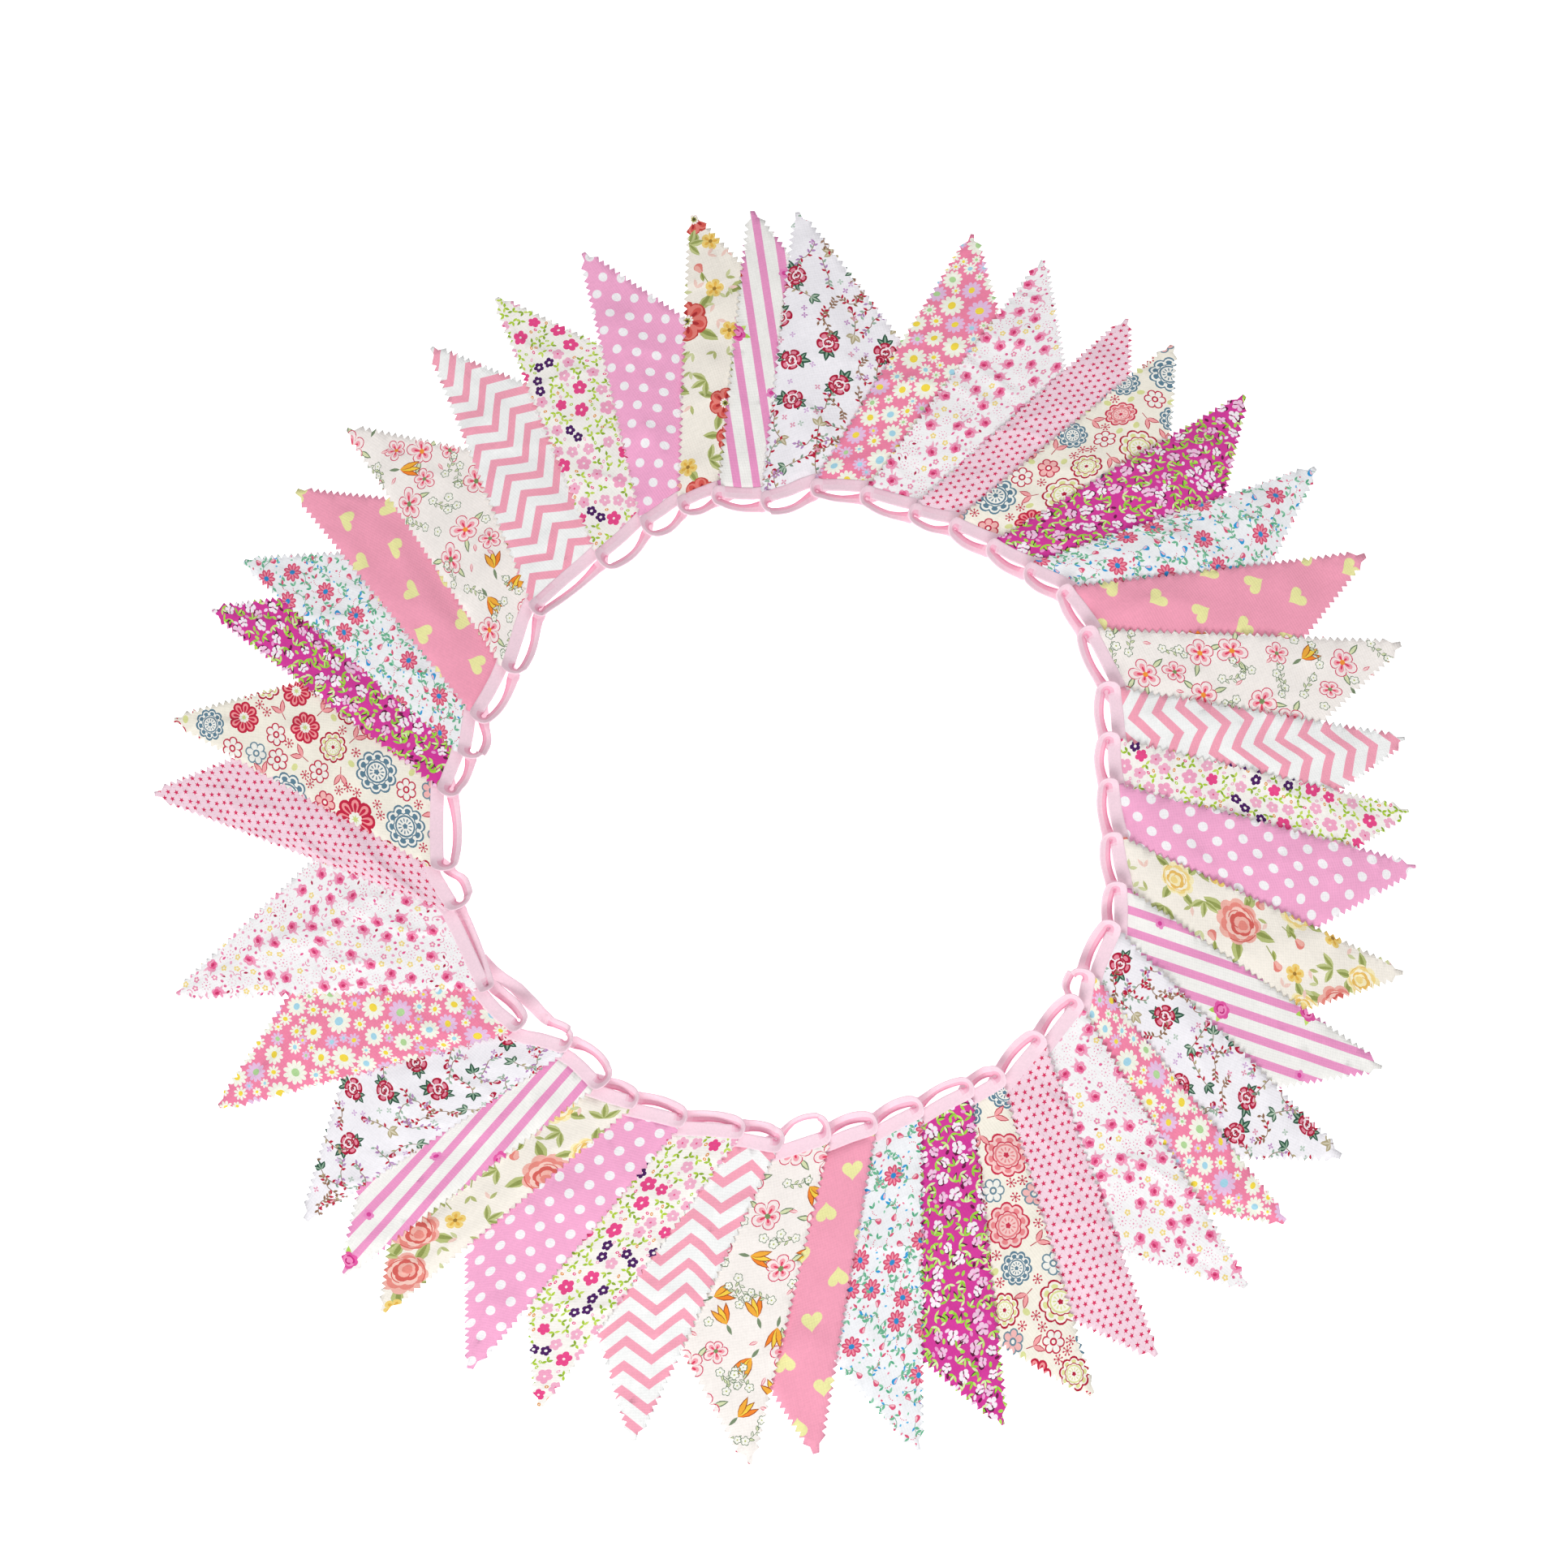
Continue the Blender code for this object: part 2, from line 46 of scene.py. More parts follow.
# Cut sizes of the cloth, in mm like all lengths here
FLAG_WIDTH = 150.0
FLAG_HEIGHT = 190.0
TIP_WIDTH = 6.0
SIDE_LENGTH = math.hypot(FLAG_WIDTH / 2, FLAG_HEIGHT)
TAPE_WIDTH = 9.0
TAPE_THICKNESS = 1.05

# Zigzag teeth: the distance between two, their depth, and the share of the side that they take up
TOOTH_PITCH = 5.0
TOOTH_DEPTH = 3.0
TOOTHED_SHARE = 0.965

# Where the cloth comes out beside the tape, and how far it is tucked in
SEAM_GAP = 0.3
SEAM_LINE = TAPE_WIDTH / 2 + SEAM_GAP
SEAM_TUCK = 1.5

# Thickness of the cotton, its rest over the layer below, and the least height over the table
COTTON = 0.4
COTTON_REST = 0.3
COTTON_LOWEST = 0.08
# How far the trailing edge droops, over which width, and how far the smooth underside is lowered
EDGE_DROOP = 0.7
DROOP_WIDTH = 8.0
LINING = 0.55

# How the ring is laid: height of a layer, and how a binding steps outward flag after flag
LAYER = 1.6
RING_RADIUS = 220.0
STEP_OUT = 1.8
STEP_GROWTH = 3.1
# Degrees that a leading edge lies ahead of its trailing corner, at the ring and far out
LEAD_INNER = 36.0
LEAD_OUTER = 10.0
LEAD_SPAN = 200.0
PHASE_SPREAD = 14.0
FIRST_TURN = -19.7

# Loops of tape between the flags: rise of the binding over the strand, and how far the rise goes
FOLD_LIFT = 1.7
FOLD_DROP = 0.2
FOLD_REACH = 27.0
FOLD_DEPTH = 26.0
STRAND_REST = 0.2
LANE = TAPE_WIDTH + 1.7
TURN_RADIUS = LANE / 2
END_TUCK = 2.0

# Where folds die out near the ends of the overlap, and where the free tip comes down to the table
FOLD_FADE = 1.0 / 7.0
NOTCH_MARGIN = 3.0
FALL_LENGTH = 24.0
# Limits of the visible strip, as a share across the flag, and the steps it is measured in
STRIP_MIN = 0.12
STRIP_MAX = 0.7
STRIP_STEPS = 40

# The 14 prints, which come round three times
PRINTS = [
    "large_rose", "rose_stripe", "briar", "daisy", "small_rose", "star", "folk_flower",
    "magenta_flower", "ditsy", "heart", "outlined_flower", "chevron", "purple_sprig", "polka_dot",
]
Flag = namedtuple("Flag", "corner_turn corner_out tip_turn tip_out bow")
# Turns are degrees clockwise from the top of the ring, distances are mm from its centre.
# The bow is how far the tape's loop stands clear of the flag's binding, in mm.
FLAGS = [Flag(*row) for row in (
    (340.3, 218.5, 350.6, 418.5, 8.0), (347.0, 218.1, 356.3, 417.3, 6.5),
    (355.1, 209.0, 0.7, 415.9, 9.0), (4.4, 217.7, 17.5, 419.1, 6.0), (13.5, 218.5, 24.6, 418.7, 7.5),
    (22.6, 216.7, 34.3, 409.6, 6.5), (30.2, 220.2, 39.4, 412.9, 7.0), (37.7, 222.0, 47.6, 419.7, 6.0),
    (45.1, 225.9, 56.9, 425.3, 6.5), (51.9, 233.7, 66.1, 423.4, 6.0), (59.7, 230.6, 74.9, 422.8, 8.0),
    (69.9, 227.2, 83.6, 410.8, 9.5), (78.3, 217.0, 90.3, 408.0, 7.5), (86.3, 211.1, 95.5, 412.8, 6.0),
    (95.8, 213.5, 105.2, 413.4, 7.0), (104.2, 221.0, 113.8, 418.0, 7.0),
    (111.1, 224.8, 122.5, 419.1, 7.5), (120.0, 222.2, 130.1, 412.8, 10.5),
    (125.1, 225.7, 136.6, 421.6, 8.0), (133.7, 221.9, 146.6, 418.8, 8.0),
    (143.0, 222.7, 153.1, 418.2, 8.5), (148.4, 216.6, 161.1, 412.9, 7.0),
    (157.6, 213.0, 168.9, 414.0, 8.0), (166.0, 213.6, 177.8, 408.5, 8.0),
    (174.0, 214.0, 183.7, 415.4, 12.5), (182.5, 218.7, 193.9, 412.5, 8.5),
    (189.2, 212.5, 202.7, 411.8, 6.0), (199.4, 215.2, 209.6, 410.6, 7.0),
    (208.2, 216.9, 218.8, 413.4, 6.0), (214.7, 218.8, 223.7, 413.3, 11.0),
    (223.0, 213.5, 229.6, 409.0, 9.5), (231.1, 228.2, 242.2, 417.1, 9.0),
    (239.5, 230.8, 253.0, 418.7, 4.0), (253.3, 229.9, 271.2, 421.4, 12.0),
    (260.4, 234.5, 278.1, 414.9, 11.5), (272.9, 229.0, 288.9, 411.4, 9.0),
    (279.4, 218.8, 294.3, 404.8, 11.0), (286.3, 217.1, 302.7, 398.9, 9.0),
    (296.2, 209.5, 310.7, 398.9, 9.0), (308.1, 217.2, 322.1, 402.2, 7.0),
    (322.8, 212.1, 330.1, 407.4, 11.5), (332.8, 216.0, 339.6, 412.0, 11.0),
)]
COUNT = len(FLAGS)
PITCH = 360.0 / COUNT
# The flag that the tape's first end is sewn to, counted from 0
FIRST = 30

Crease = namedtuple("Crease", "flag along rise spread edge")
# Main folds across the strips that show: the flag's number, how far down it lies as a share of
# the height, its rise and spread in mm, and the share of the rise that the pinked edge keeps.
CREASES = [Crease(*row) for row in (
    (1, 0.37, 2.6, 20.0, 0.6), (3, 0.55, 1.6, 26.0, 0.9), (4, 0.42, 2.2, 24.0, 0.5),
    (5, 0.30, 2.0, 22.0, 0.8), (6, 0.48, 2.4, 24.0, 0.5), (7, 0.34, 2.2, 22.0, 0.9),
    (8, 0.52, 2.6, 26.0, 0.5), (9, 0.26, 3.0, 24.0, 0.6), (10, 0.24, 3.2, 22.0, 0.5),
    (11, 0.50, 1.8, 26.0, 0.8), (12, 0.36, 1.6, 26.0, 0.4), (14, 0.46, 2.0, 24.0, 0.7),
    (15, 0.58, 2.6, 22.0, 0.6), (17, 0.40, 1.6, 28.0, 0.8), (19, 0.30, 1.8, 24.0, 0.5),
    (20, 0.52, 1.6, 26.0, 0.9), (22, 0.38, 2.2, 24.0, 0.6), (24, 0.56, 1.6, 26.0, 0.8),
    (26, 0.44, 1.8, 24.0, 0.5), (28, 0.30, 1.8, 26.0, 0.9), (29, 0.58, 2.0, 24.0, 0.6),
    (31, 0.46, 1.6, 26.0, 0.7), (33, 0.36, 2.2, 24.0, 0.5), (35, 0.28, 2.4, 24.0, 0.8),
    (36, 0.44, 2.4, 26.0, 0.6), (38, 0.34, 2.0, 24.0, 0.8), (40, 0.30, 2.8, 26.0, 0.6),
    (41, 0.40, 2.2, 24.0, 0.8), (42, 0.32, 2.4, 26.0, 0.5),
)]

Pleat = namedtuple("Pleat", "flag x y to_x to_y rise wide")
# Sharper creases from one place to another on the flat cloth, with their rise and half width in mm
PLEATS = [Pleat(*row) for row in (
    (1, -70, 60, -20, 55, 1.2, 3.5), (1, -45, 150, 10, 135, 1.0, 4.0), (2, -55, 52, -20, 56, 0.8, 2.6),
    (3, -50, 92, 30, 70, 1.0, 4.0), (4, -60, 78, 0, 70, 1.4, 4.0), (4, -30, 110, 25, 96, 0.9, 4.0),
    (5, -45, 112, 10, 80, 1.3, 3.5), (5, -40, 88, -5, 72, 1.0, 3.5), (6, -50, 72, -30, 78, 1.0, 3.0),
    (6, -32, 78, -6, 72, 1.0, 3.0), (7, -50, 60, -10, 66, 1.0, 4.0), (8, -40, 20, -10, 45, 1.4, 6.0),
    (9, -58, 66, -16, 80, 1.4, 4.0), (9, -30, 122, 10, 128, 1.0, 4.0), (10, -46, 8, -42, 46, 1.6, 3.4),
    (10, -20, 20, 0, 60, 0.8, 4.0), (11, -40, 40, -6, 60, 0.8, 4.0), (14, -14, 58, -14, 142, 0.9, 3.0),
    (15, -40, 60, 0, 74, 0.9, 4.0), (17, -45, 60, -10, 84, 0.9, 4.5), (18, -50, 40, -14, 52, 1.0, 4.0),
    (20, -45, 110, -5, 104, 0.8, 4.0), (22, -44, 60, -14, 64, 0.9, 4.0),
    (24, -40, 16, -30, 60, 0.9, 4.0), (26, -36, 70, 10, 78, 0.7, 4.0), (29, -34, 90, 6, 82, 0.9, 4.0),
    (31, -30, 60, 10, 100, 0.9, 5.0), (33, -20, 30, 30, 60, 0.9, 5.0), (35, -30, 50, 20, 66, 0.9, 4.0),
    (37, -20, 60, 30, 90, 0.9, 4.0), (38, -28, 36, -28, 80, 1.2, 3.5), (40, 5, 18, 20, 62, 1.2, 5.0),
    (41, -40, 60, 0, 80, 0.8, 4.0), (42, -36, 20, -36, 68, 1.2, 2.8),
    (42, -17, 74, -17, 126, 1.2, 2.8), (42, -60, 44, -30, 52, 0.8, 4.0),
)]


def ease(share):
    """Smooth step from 0 to 1 as share goes from 0 to 1."""
    share = min(max(share, 0.0), 1.0)
    return share * share * (3.0 - 2.0 * share)


def mix(start, end, share):
    return start + (end - start) * share


def ring_point(turn, out):
    """Plan point at a clockwise turn from the top and a distance from the ring's centre."""
    angle = math.radians(turn)
    return Vector((out * math.sin(angle), out * math.cos(angle)))


def cross(a, b):
    return a.x * b.y - a.y * b.x


def clockwise(direction, degrees):
    angle = math.radians(degrees)
    return Vector((
        direction.x * math.cos(angle) + direction.y * math.sin(angle),
        direction.y * math.cos(angle) - direction.x * math.sin(angle),
    ))


CORNERS = [ring_point(flag.corner_turn, flag.corner_out) for flag in FLAGS]


def corner_line(spot):
    """Point of the smooth line through the flags' trailing corners, at a spot between two."""
    index = math.floor(spot)
    share = spot - index
    a, b, c, d = (CORNERS[(index + step) % COUNT] for step in (-1, 0, 1, 2))
    return 0.5 * (
        2.0 * b + (c - a) * share + (2.0 * a - 5.0 * b + 4.0 * c - d) * share ** 2
        + (3.0 * b - a - 3.0 * c + d) * share ** 3
    )


def line_inward(spot):
    """Direction at right angles to the corner line, towards the middle of the ring."""
    way = (corner_line(spot + 0.02) - corner_line(spot - 0.02)).normalized()
    return clockwise(way, 90.0)


def step_out(ahead):
    """How far outward of the corner line a binding has moved, so many flags ahead."""
    return STEP_OUT * ahead + STEP_GROWTH * ahead * ahead


def binding_line(index, ahead):
    """Middle of the tape along a flag's base, so many flags ahead of its trailing corner."""
    spot = index + ahead
    return corner_line(spot) - line_inward(spot) * step_out(ahead)


class Laid:
    """Where one flag lies in plan: the bent line of its base, and its tip."""

    def __init__(self, index):
        flag = FLAGS[index]
        self.corner = CORNERS[index]
        self.tip = ring_point(flag.tip_turn, flag.tip_out)
        self.scale = (self.tip - self.corner).length / SIDE_LENGTH
        self.length = FLAG_WIDTH * self.scale
        self.reach = self.find_reach(index)
        self.spots = (0.0, 0.5, 1.0, (1.0 + self.reach) / 2, self.reach)
        self.knots = [binding_line(index, spot) for spot in self.spots]
        ways = [(b - a).normalized() for a, b in zip(self.knots, self.knots[1:])]
        bends = [ways[0]] + [(a + b).normalized() for a, b in zip(ways, ways[1:])] + [ways[-1]]
        self.inwards = [clockwise(way, 90.0) for way in bends]
        lengths = [0.0]
        for a, b in zip(self.knots, self.knots[1:]):
            lengths.append(lengths[-1] + (b - a).length)
        self.marks = [length / lengths[-1] for length in lengths]
        self.along = ways[-1]
        self.far = self.knots[-1]
        self.back = self.base(0.0, -SEAM_LINE)
        self.front = self.base(1.0, -SEAM_LINE)
        blunt = (self.front - self.back).normalized() * TIP_WIDTH / 2
        self.tip_back = self.tip - blunt
        self.tip_front = self.tip + blunt

    def find_reach(self, index):
        """How many flags ahead the base ends, from its cut length."""
        ahead = 0.0
        length = 0.0
        last = binding_line(index, 0.0)
        while length < self.length:
            ahead += 0.02
            point = binding_line(index, ahead)
            length += (point - last).length
            last = point
        return ahead

    def share_at(self, ahead):
        """Share along the base at the given number of flags ahead."""
        step = 0
        while step < len(self.spots) - 2 and ahead > self.spots[step + 1]:
            step += 1
        share = (ahead - self.spots[step]) / (self.spots[step + 1] - self.spots[step])
        return mix(self.marks[step], self.marks[step + 1], share)

    def base(self, across, inward):
        """Point along the bent base line, moved inward of the tape's middle by a distance."""
        step = 0
        while step < len(self.marks) - 2 and across > self.marks[step + 1]:
            step += 1
        share = (across - self.marks[step]) / (self.marks[step + 1] - self.marks[step])
        start = self.knots[step] + self.inwards[step] * inward
        end = self.knots[step + 1] + self.inwards[step + 1] * inward
        return start.lerp(end, share)

    def point(self, across, down):
        """Plan point of the cloth: across from the trailing to the leading edge, down to the tip."""
        return self.base(across, -SEAM_LINE).lerp(self.tip_back.lerp(self.tip_front, across), down)


LAID = [Laid(index) for index in range(COUNT)]


def lead(radius):
    """How far ahead of its trailing corner a flag's leading edge lies at a radius, in degrees."""
    share = min(max((radius - RING_RADIUS) / LEAD_SPAN, 0.0), 1.0)
    return mix(LEAD_INNER, LEAD_OUTER, (1.0 - math.cos(math.pi * share)) / 2)


def phase(point, near):
    """Turn of a plan point less the lead there, within half a turn of the value near."""
    turn = math.degrees(math.atan2(point.x, point.y)) - lead(point.length)
    return turn + 360.0 * round((near - turn) / 360.0)


def front_phase(index):
    """The furthest phase that any point of a flag reaches."""
    laid = LAID[index]
    near = FIRST_TURN + index * PITCH
    edge = [laid.point(1.0, step / 8) for step in range(9)]
    edge.append(laid.far + laid.along * (END_TUCK + LANE))
    return max(phase(point, near) for point in edge)


FRONTS = [front_phase(index) for index in range(COUNT)]


def slack(turn):
    """How many layers the ring runs ahead of an even one at a phase, smoothed round the ring."""
    total = 0.0
    weights = 0.0
    for index, front in enumerate(FRONTS):
        apart = (turn - front + 180.0) % 360.0 - 180.0
        weight = math.exp(-0.5 * (apart / PHASE_SPREAD) ** 2)
        total += weight * (index - front / PITCH)
        weights += weight
    return total / weights


SLACK_DROP = max(front / PITCH + slack(front) - index for index, front in enumerate(FRONTS))
SLACK_STEPS = 1440
SLACKS = [slack(360.0 * step / SLACK_STEPS) for step in range(SLACK_STEPS + 1)]


def slack_near(turn):
    """The smoothed slack, read between two steps of the ring."""
    at = (turn % 360.0) / 360.0 * SLACK_STEPS
    step = min(int(at), SLACK_STEPS - 1)
    return mix(SLACKS[step], SLACKS[step + 1], at - step)


def layer_height(index, point):
    """Height in mm of the underside of flag number index (counted from 0) over a plan point."""
    wrapped = index % COUNT
    turn = phase(point, FRONTS[wrapped] - LEAD_INNER / 2)
    level = turn / PITCH + slack_near(turn) - SLACK_DROP
    return LAYER * (wrapped - level)


def next_edge_share(index, down):
    """Share across the cloth where the next flag's pinked edge crosses a row."""
    laid = LAID[index]
    following = LAID[(index + 1) % COUNT]
    way = following.tip_back - following.back
    low, high = 0.0, 1.0
    for _ in range(20):
        middle = (low + high) / 2
        offset = laid.point(middle, down) - following.back
        if cross(way, offset) > 0.0:
            low = middle
        else:
            high = middle
    return low


def notch(index):
    """Shares down this flag's leading edge and the next one's trailing edge where they cross."""
    lower = LAID[index % COUNT]
    upper = LAID[(index + 1) % COUNT]
    span = lower.tip_front - lower.front
    way = upper.tip_back - upper.back
    offset = upper.back - lower.front
    whole = cross(span, way)
    return cross(offset, way) / whole, cross(offset, span) / whole


def notch_down(index):
    """How far down a flag its neighbours reach, as a share of the height."""
    return max(notch(index)[0], notch(index - 1)[1])


# The printed cloth

def linear(code):
    """sRGB hex colour as linear red, green, blue and alpha."""
    values = [int(code[start:start + 2], 16) / 255 for start in (1, 3, 5)]
    return tuple(v / 12.92 if v <= 0.04045 else ((v + 0.055) / 1.055) ** 2.4 for v in values) + (1.0,)


def turned(points, x, y, turn):
    """Points of a shape, turned clockwise by degrees on the cloth and moved to a place."""
    cosine = math.cos(math.radians(turn))
    sine = math.sin(math.radians(turn))
    return [Vector((x + u * cosine - v * sine, y + u * sine + v * cosine)) for u, v in points]


def beside(x, y, turn, distance):
    """Place at a distance from another, in the direction of the turn."""
    return turned([(distance, 0.0)], x, y, turn)[0]


def oval(x, y, long, short, turn=0.0, count=14):
    angles = [2.0 * math.pi * step / count for step in range(count)]
    return turned([(long * math.cos(a), short * math.sin(a)) for a in angles], x, y, turn)


def scalloped(x, y, radius, lobes, depth, turn=0.0):
    """Round with lobes at its rim, each lobe standing out by the depth as a share of the radius."""
    points = []
    count = lobes * 5
    for step in range(count):
        angle = 2.0 * math.pi * step / count
        reach = radius * (1.0 - depth * (1.0 - abs(math.sin(lobes * angle / 2)) ** 0.7))
        points.append((reach * math.cos(angle), reach * math.sin(angle)))
    return turned(points, x, y, turn)


# Half outlines of a petal and of a leaf: share of the length, and half width as a share of the width
PETAL = [(0.0, 0.16), (0.35, 0.36), (0.62, 0.50), (0.84, 0.42), (0.97, 0.20)]
LEAF = [(0.22, 0.36), (0.48, 0.50), (0.76, 0.32)]


def petal(x, y, turn, start, end, width):
    """Petal that points away from a flower's middle, round at its outer end."""
    side = [(mix(start, end, along), wide * width) for along, wide in PETAL]
    return turned([(u, -v) for u, v in side] + [(end, 0.0)] + side[::-1], x, y, turn)


def leaf(x, y, turn, length, width):
    """Leaf pointed at both ends, with its foot at the place."""
    side = [(along * length, wide * width) for along, wide in LEAF]
    return turned([(0.0, 0.0)] + [(u, -v) for u, v in side] + [(length, 0.0)] + side[::-1], x, y, turn)


def strip(points, width):
    """Line of even width along a run of points."""
    left, right = [], []
    for step, point in enumerate(points):
        way = points[min(step + 1, len(points) - 1)] - points[max(step - 1, 0)]
        across = Vector((-way.y, way.x)).normalized() * width / 2
        left.append(point + across)
        right.append(point - across)
    return right + left[::-1]


def arc(x, y, radius, start, sweep, width, count=7):
    turns = [start + sweep * step / (count - 1) for step in range(count)]
    return strip([beside(x, y, turn, radius) for turn in turns], width)


def star(x, y, outer, inner, turn, points=5):
    corners = []
    for step in range(2 * points):
        angle = math.pi * step / points
        reach = inner if step % 2 else outer
        corners.append((reach * math.cos(angle), reach * math.sin(angle)))
    return turned(corners, x, y, turn)


def heart(x, y, size, turn):
    """Heart, its point at +u, from the usual curve."""
    points = []
    for step in range(26):
        angle = 2.0 * math.pi * step / 26
        across = 16.0 * math.sin(angle) ** 3
        along = 13.0 * math.cos(angle) - 5.0 * math.cos(2 * angle) - 2.0 * math.cos(3 * angle)
        along -= math.cos(4 * angle)
        points.append((-along * size / 32.0, across * size / 32.0))
    return turned(points, x, y, turn)


def dyed(shape):
    """Method of a print that fills one kind of shape: its measures come first, then the dye."""
    return lambda sheet, *measures: sheet.fill(shape(*measures[:-1]), measures[-1])


# Steps in mm at which a print knows where the next flag's edge crosses it
EDGE_STEP = 5.0
EDGE_COUNT = 40


class Print:
    """Printed shapes on one flag, in mm on the flat cloth: x across, y down from its base."""

    def __init__(self, number, ground):
        self.number = number
        self.index = number - 1
        self.random = random.Random(1000 + number)
        self.ground = linear(ground)
        self.shapes = []
        self.edge = [self.edge_at(step * EDGE_STEP) for step in range(EDGE_COUNT)]

    def edge_at(self, y):
        down = min(max(y / FLAG_HEIGHT, 0.0), 1.0)
        return (next_edge_share(self.index, down) - 0.5) * flat_width(y)

    def shows(self, x, y, radius):
        """Whether a shape this large at a place can be seen past the next flag."""
        if y + radius < -SEAM_TUCK or y - radius > FLAG_HEIGHT + 2.0:
            return False
        at = min(max(y / EDGE_STEP, 0.0), EDGE_COUNT - 1.01)
        edge = max(self.edge[int(at)], self.edge[int(at) + 1]) + 4.0
        wide = flat_width(max(y - radius, 0.0)) / 2 + 2.0
        return x - radius < edge and abs(x) - radius < wide

    def fill(self, points, code):
        self.shapes.append((points, linear(code)))

    oval = dyed(oval)
    scalloped = dyed(scalloped)
    petal = dyed(petal)
    leaf = dyed(leaf)
    strip = dyed(strip)
    arc = dyed(arc)
    star = dyed(star)
    heart = dyed(heart)

    def scatter(self, sizes, gap, tries):
        """Places that keep clear of each other: (radius, count wanted) from large to small."""
        placed = []
        for radius, count in sizes:
            found = 0
            for _ in range(count * tries):
                if found == count:
                    break
                x = self.random.uniform(-FLAG_WIDTH / 2 - radius, FLAG_WIDTH / 2)
                y = self.random.uniform(-radius, FLAG_HEIGHT)
                if not self.shows(x, y, radius):
                    continue
                if all(math.hypot(x - a, y - b) > radius + r + gap for a, b, r in placed):
                    placed.append((x, y, radius))
                    found += 1
        return placed

    def motifs(self, sizes, gap, tries=60):
        """Scattered places and radii, each with a turn of its own."""
        for x, y, radius in self.scatter(sizes, gap, tries):
            yield x, y, radius, self.any_turn()

    def flower(self, x, y, radius, count, width, code, turn=0.0, start=0.1):
        for way in around(turn, count):
            self.petal(x, y, way, radius * start, radius, radius * width, code)

    def pick(self, *choices):
        return self.random.choice(choices)

    def any_turn(self):
        return self.random.uniform(0.0, 360.0)


def flat_width(y):
    return mix(FLAG_WIDTH, TIP_WIDTH, y / FLAG_HEIGHT)


def around(turn, count):
    """Turns set evenly round a flower, from the given one on."""
    return [turn + 360.0 * step / count for step in range(count)]


def shaded_leaf(p, x, y, turn, length, width, light, dark):
    """Leaf with one half darker and a pale rib."""
    p.leaf(x, y, turn, length, width, light)
    p.leaf(x, y, turn + 5.0, length * 0.94, width * 0.42, dark)


def anemone(p, x, y, r, turn):
    """Open red flower with a white crown and an olive eye."""
    p.flower(x, y, r, 6, 0.90, "#c9453f", turn)
    p.flower(x, y, r * 0.94, 6, 0.74, "#ea8278", turn + 4.0)
    p.flower(x, y, r * 0.86, 6, 0.40, "#dc5a52", turn, 0.2)
    p.flower(x, y, r * 0.62, 6, 0.26, "#b02c30", turn - 3.0, 0.25)
    p.scalloped(x, y, r * 0.32, 11, 0.3, "#fdf8ee")
    p.scalloped(x, y, r * 0.19, 7, 0.3, "#a9a64c")
    p.oval(x, y, r * 0.10, r * 0.09, "#4d4a28")


def full_rose(p, x, y, r, turn, tints):
    """Double rose: rings of petals, each ring a little off the one below, over turning tints."""
    for ring in range(6):
        reach = r * (1.0 - 0.155 * ring)
        shift = beside(x, y, turn + 80.0, r * 0.05 * ring)
        tint = tints[ring % len(tints)]
        p.scalloped(shift.x, shift.y, reach, 8 - ring, 0.15, turn + 31.0 * ring, tint)
    for ring in range(4):
        reach = r * (0.86 - 0.2 * ring)
        p.arc(x, y, reach, turn + 100.0 * ring, 84.0, r * 0.045, tints[-1])


def paint_large_rose(p):
    """Large salmon flowers with olive leaves and pale yellow blossom on cream."""
    rose_tints = ("#f4b7aa", "#ea8d82", "#f9cfc2", "#d9625b")
    yellow_tints = ("#fdf0c0", "#f8dc8c", "#fef6dc", "#edbf62")
    for x, y, r, turn in p.motifs([(16.0, 3), (12.0, 4), (7.5, 14), (4.5, 20)], -2.0):
        if r > 10.0:
            for way in around(turn, 4):
                way += p.random.uniform(-20.0, 20.0)
                foot = beside(x, y, way, r * 0.66)
                shaded_leaf(p, foot.x, foot.y, way + 10.0, r * 1.05, r * 0.50, "#bcc47e", "#949e55")
            if p.number == 1:
                anemone(p, x, y, r * 0.94, turn)
            elif r > 14.0:
                full_rose(p, x, y, r, turn, rose_tints)
            else:
                full_rose(p, x, y, r, turn, yellow_tints)
        elif r > 7.0:
            kind = p.pick("leaves", "leaves", "bud", "yellow")
            if kind == "leaves":
                for way in (turn, turn + 62.0, turn - 56.0):
                    shaded_leaf(p, x, y, way, r * 1.6, r * 0.66, "#c6cc8c", "#9ca65c")
            elif kind == "bud":
                foot = beside(x, y, turn + 180.0, r * 1.5)
                p.strip([Vector((x, y)), foot], 0.8, "#a3ab62")
                p.petal(x, y, turn, 0.0, r, r * 0.9, "#e9867c")
                p.petal(x, y, turn + 14.0, 0.0, r * 0.9, r * 0.5, "#f6b5a8")
                shaded_leaf(p, x, y, turn + 160.0, r * 1.0, r * 0.45, "#b2bb6c", "#8f9a4c")
            else:
                p.flower(x, y, r * 0.9, 5, 0.86, "#f4d479", turn)
                p.flower(x, y, r * 0.66, 5, 0.42, "#e9b64e", turn)
                p.oval(x, y, r * 0.18, r * 0.18, "#a37b33")
        else:
            for way in (turn, turn + 70.0):
                p.leaf(x, y, way, r * 1.5, r * 0.6, p.pick("#d3d7a2", "#b9bf7c", "#f6d2c6"))


STRIPE_PITCH = 14.0
STRIPE_WIDTH = 5.6


def stripes(p, lean, offset):
    """Candy-pink stripes down the cloth, leaning by degrees."""
    slope = math.tan(math.radians(lean))
    ys = [mix(-6.0, FLAG_HEIGHT + 6.0, step / 24) for step in range(25)]
    for number in range(-14, 20):
        x = offset + number * STRIPE_PITCH
        if any(p.shows(x + slope * y, y, STRIPE_WIDTH) for y in range(0, 190, 6)):
            p.strip([Vector((x + slope * y, y)) for y in ys], STRIPE_WIDTH, "#f29ccb")


